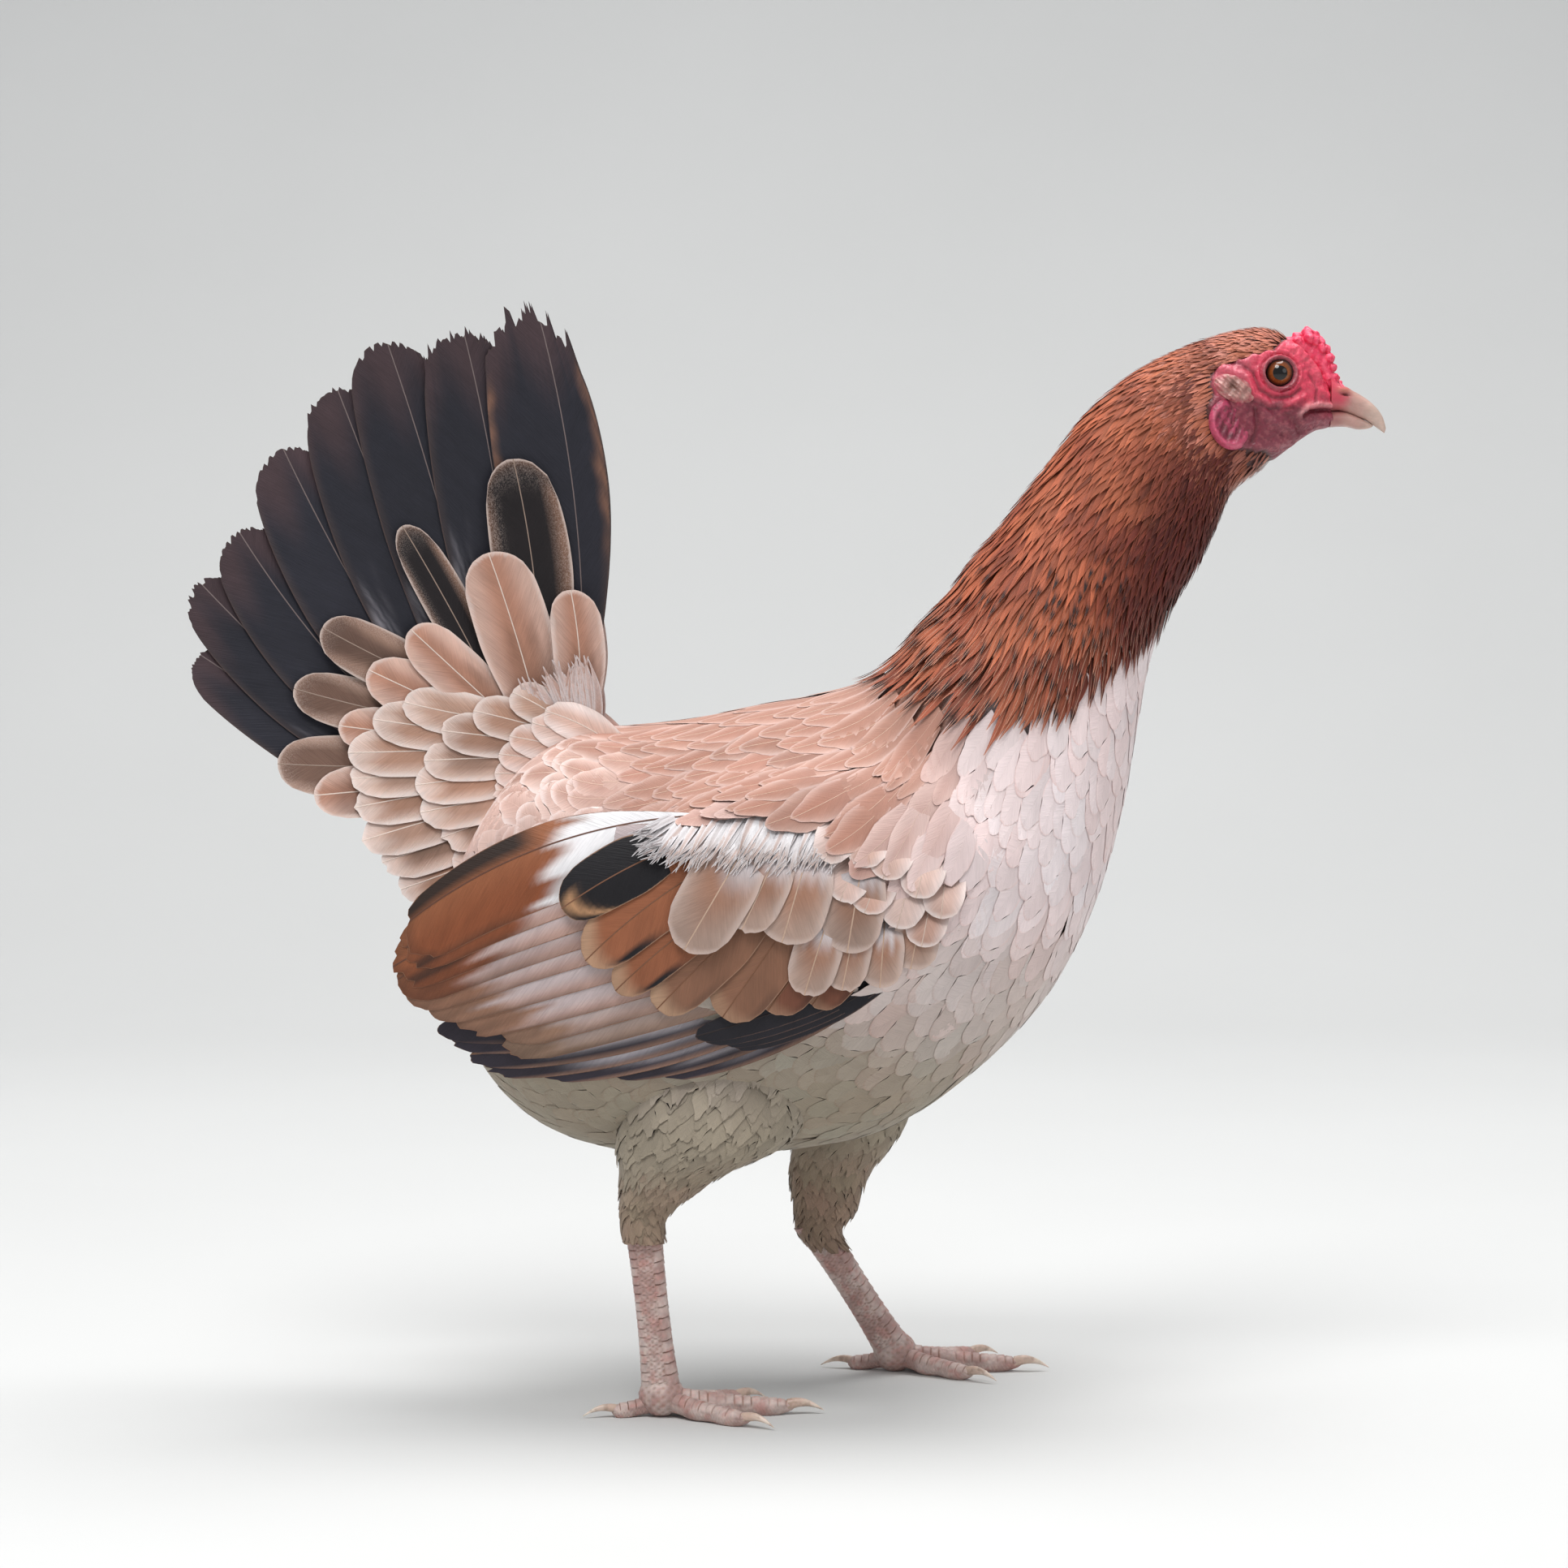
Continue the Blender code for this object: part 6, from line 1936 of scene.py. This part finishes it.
def make_light(name, place, aim, size, power):
    """A round area light that looks from its place to its aim."""
    lamp = bpy.data.lights.new(name, "AREA")
    lamp.shape, lamp.size, lamp.energy = "DISK", size, power
    holder = bpy.data.objects.new(name, lamp)
    bpy.context.scene.collection.objects.link(holder)
    holder.location = place
    x, y, z = np.subtract(aim, place)
    holder.rotation_euler = (math.atan2(math.hypot(x, y), -z), 0, math.atan2(y, x) - math.pi / 2)


def make_stage(light):
    """The floor, soft lights from above and in front, and the camera at the photo's place: 1.6 m to
    the bird's right, a little above its back, looking slightly down."""
    floor = make_floor()
    for name, place, aim, size, power in LIGHTS:
        make_light(name, place, aim, size, power * light)
    scene = bpy.context.scene
    scene.world = bpy.data.worlds.new("studio")
    scene.world.use_nodes = True
    sky = scene.world.node_tree.nodes["Background"].inputs
    sky["Color"].default_value = SKY_COLOUR
    sky["Strength"].default_value = SKY_STRENGTH
    lens = bpy.data.cameras.new("camera")
    lens.sensor_width, lens.lens = SENSOR_WIDTH, LENS
    camera = bpy.data.objects.new("camera", lens)
    scene.collection.objects.link(camera)
    camera.location = CAMERA_PLACE
    camera.rotation_euler = (math.radians(90 - CAMERA_DIP), 0, 0)
    scene.camera = camera
    scene.view_settings.view_transform = "Standard"
    return floor


# Add-on


class HenSizes(PropertyGroup):
    """Sizes that a user may change."""

    body_feather_width: FloatProperty(
        name="Body feather", description="Width of a breast feather", default=0.0108,
        min=0.004, max=0.02, subtype="DISTANCE", unit="LENGTH",
    )
    hackle_width: FloatProperty(
        name="Hackle feather", description="Width of a neck feather", default=0.0031,
        min=0.002, max=0.01, subtype="DISTANCE", unit="LENGTH",
    )
    light: FloatProperty(
        name="Light", description="Strength of the studio lights, 1 as in the photo", default=1.0,
        min=0.1, max=4.0, subtype="FACTOR",
    )


def colour_property(name, description, default):
    """A colour that a user may change."""
    return FloatVectorProperty(
        name=name, description=description, default=default, size=3, min=0, max=1, subtype="COLOR"
    )


class HenColours(PropertyGroup):
    """Colours that a user may change."""

    breast: colour_property("Breast", "Cream of the breast", (0.88, 0.78, 0.79))
    breast_pink: colour_property("Breast, pinker", "Pinkish part of the breast", (0.82, 0.65, 0.63))
    # The belly's cream is darkened here as painted shade.
    belly: colour_property("Belly", "Duller cream of belly and thighs", (0.29, 0.245, 0.175))
    back: colour_property("Back", "Salmon of back and shoulders", (0.385, 0.182, 0.126))
    neck: colour_property("Neck", "Rust red of the neck", (0.28, 0.066, 0.032))
    nape: colour_property("Nape", "Brighter rust of nape and crown", (0.41, 0.115, 0.053))
    throat: colour_property("Throat", "Maroon of the throat", (0.085, 0.015, 0.013))
    tail: colour_property("Tail", "Slate black of the long tail feathers", (0.019, 0.019, 0.027))
    face: colour_property("Face", "Red of the bare face", (0.60, 0.040, 0.085))
    comb: colour_property("Comb", "Red of the comb", (0.74, 0.038, 0.105))
    iris: colour_property("Iris", "Orange of the iris", (0.44, 0.115, 0.018))
    legs: colour_property("Legs", "Flesh colour of the scales", (0.58, 0.45, 0.41))
    claws: colour_property("Claws", "Pale horn of the claws", (0.74, 0.62, 0.52))


def finished(made):
    """Ends an operator, with an error where it made nothing."""
    if not made:
        raise RuntimeError("An operator of the hen made nothing")
    return {"FINISHED"}


class HEN_OT_stage(Operator):
    """Builds the floor, lights and camera"""

    bl_idname = "hen.stage"
    bl_label = "Stage"

    def execute(self, context):
        return finished(make_stage(context.scene.hen_sizes.light))


class HEN_OT_skin(Operator):
    """Builds one skin over trunk, neck, head and thighs"""

    bl_idname = "hen.skin"
    bl_label = "Skin"

    def execute(self, context):
        return finished(make_skin())


class HEN_OT_body_feathers(Operator):
    """Lays the scalloped feathers of breast, back and belly"""

    bl_idname = "hen.body_feathers"
    bl_label = "Body Feathers"

    def execute(self, context):
        return finished(make_body_coat(context.scene.hen_sizes.body_feather_width))


class HEN_OT_hackle(Operator):
    """Lays the narrow feathers of the neck"""

    bl_idname = "hen.hackle"
    bl_label = "Hackle"

    def execute(self, context):
        return finished(make_hackle(context.scene.hen_sizes.hackle_width))


class HEN_OT_head_feathers(Operator):
    """Lays the tiny feathers of crown, nape and chin"""

    bl_idname = "hen.head_feathers"
    bl_label = "Head Feathers"

    def execute(self, context):
        return finished(make_head_feathers())


class HEN_OT_thigh_feathers(Operator):
    """Lays the soft feathers of both thighs"""

    bl_idname = "hen.thigh_feathers"
    bl_label = "Thigh Feathers"

    def execute(self, context):
        return finished(make_thigh_coat())


class HEN_OT_wings(Operator):
    """Builds both wings out of their tiers of feathers"""

    bl_idname = "hen.wings"
    bl_label = "Wings"

    def execute(self, context):
        return finished(make_wings())


class HEN_OT_tail(Operator):
    """Builds both leaves of the tail"""

    bl_idname = "hen.tail"
    bl_label = "Tail"

    def execute(self, context):
        return finished(make_tail())


class HEN_OT_face(Operator):
    """Builds ear lobes and wattle folds"""

    bl_idname = "hen.face"
    bl_label = "Face"

    def execute(self, context):
        return finished(make_face())


class HEN_OT_comb(Operator):
    """Builds the pea comb"""

    bl_idname = "hen.comb"
    bl_label = "Comb"

    def execute(self, context):
        return finished(make_comb())


class HEN_OT_eyes(Operator):
    """Builds both eyeballs"""

    bl_idname = "hen.eyes"
    bl_label = "Eyes"

    def execute(self, context):
        return finished(make_eyes())


class HEN_OT_beak(Operator):
    """Builds both halves of the beak"""

    bl_idname = "hen.beak"
    bl_label = "Beak"

    def execute(self, context):
        return finished(make_beak())


class HEN_OT_legs(Operator):
    """Builds the scaled shanks and toes"""

    bl_idname = "hen.legs"
    bl_label = "Legs"

    def execute(self, context):
        return finished(make_legs())


class HEN_OT_claws(Operator):
    """Builds the claws"""

    bl_idname = "hen.claws"
    bl_label = "Claws"

    def execute(self, context):
        return finished(make_claws())


OPERATORS = (
    HEN_OT_stage, HEN_OT_skin, HEN_OT_body_feathers, HEN_OT_hackle, HEN_OT_head_feathers,
    HEN_OT_thigh_feathers, HEN_OT_wings, HEN_OT_tail, HEN_OT_face, HEN_OT_comb, HEN_OT_eyes,
    HEN_OT_beak, HEN_OT_legs, HEN_OT_claws,
)


class HEN_PT_panel(Panel):
    """Lists the hen's sizes, colours and operators"""

    bl_idname = "HEN_PT_panel"
    bl_label = "Gamefowl Hen"
    bl_space_type = "VIEW_3D"
    bl_region_type = "UI"
    bl_category = "Hen"

    def draw(self, context):
        for group in (context.scene.hen_sizes, context.scene.hen_colours):
            for name in type(group).__annotations__:
                self.layout.prop(group, name)
        for kind in OPERATORS:
            self.layout.operator(kind.bl_idname)


CLASSES = (HenSizes, HenColours, *OPERATORS, HEN_PT_panel)


def register():
    """Registers the classes and hangs the two groups of settings on the scene."""
    for kind in CLASSES:
        bpy.utils.register_class(kind)
    bpy.types.Scene.hen_sizes = PointerProperty(type=HenSizes)
    bpy.types.Scene.hen_colours = PointerProperty(type=HenColours)


def unregister():
    """Undoes register, last class first."""
    del bpy.types.Scene.hen_colours
    del bpy.types.Scene.hen_sizes
    for kind in reversed(CLASSES):
        bpy.utils.unregister_class(kind)


def main():
    """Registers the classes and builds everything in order."""
    register()
    for kind in OPERATORS:
        group, name = kind.bl_idname.split(".")
        getattr(getattr(bpy.ops, group), name)()
    bpy.context.view_layer.update()


if __name__ == "__main__":
    main()
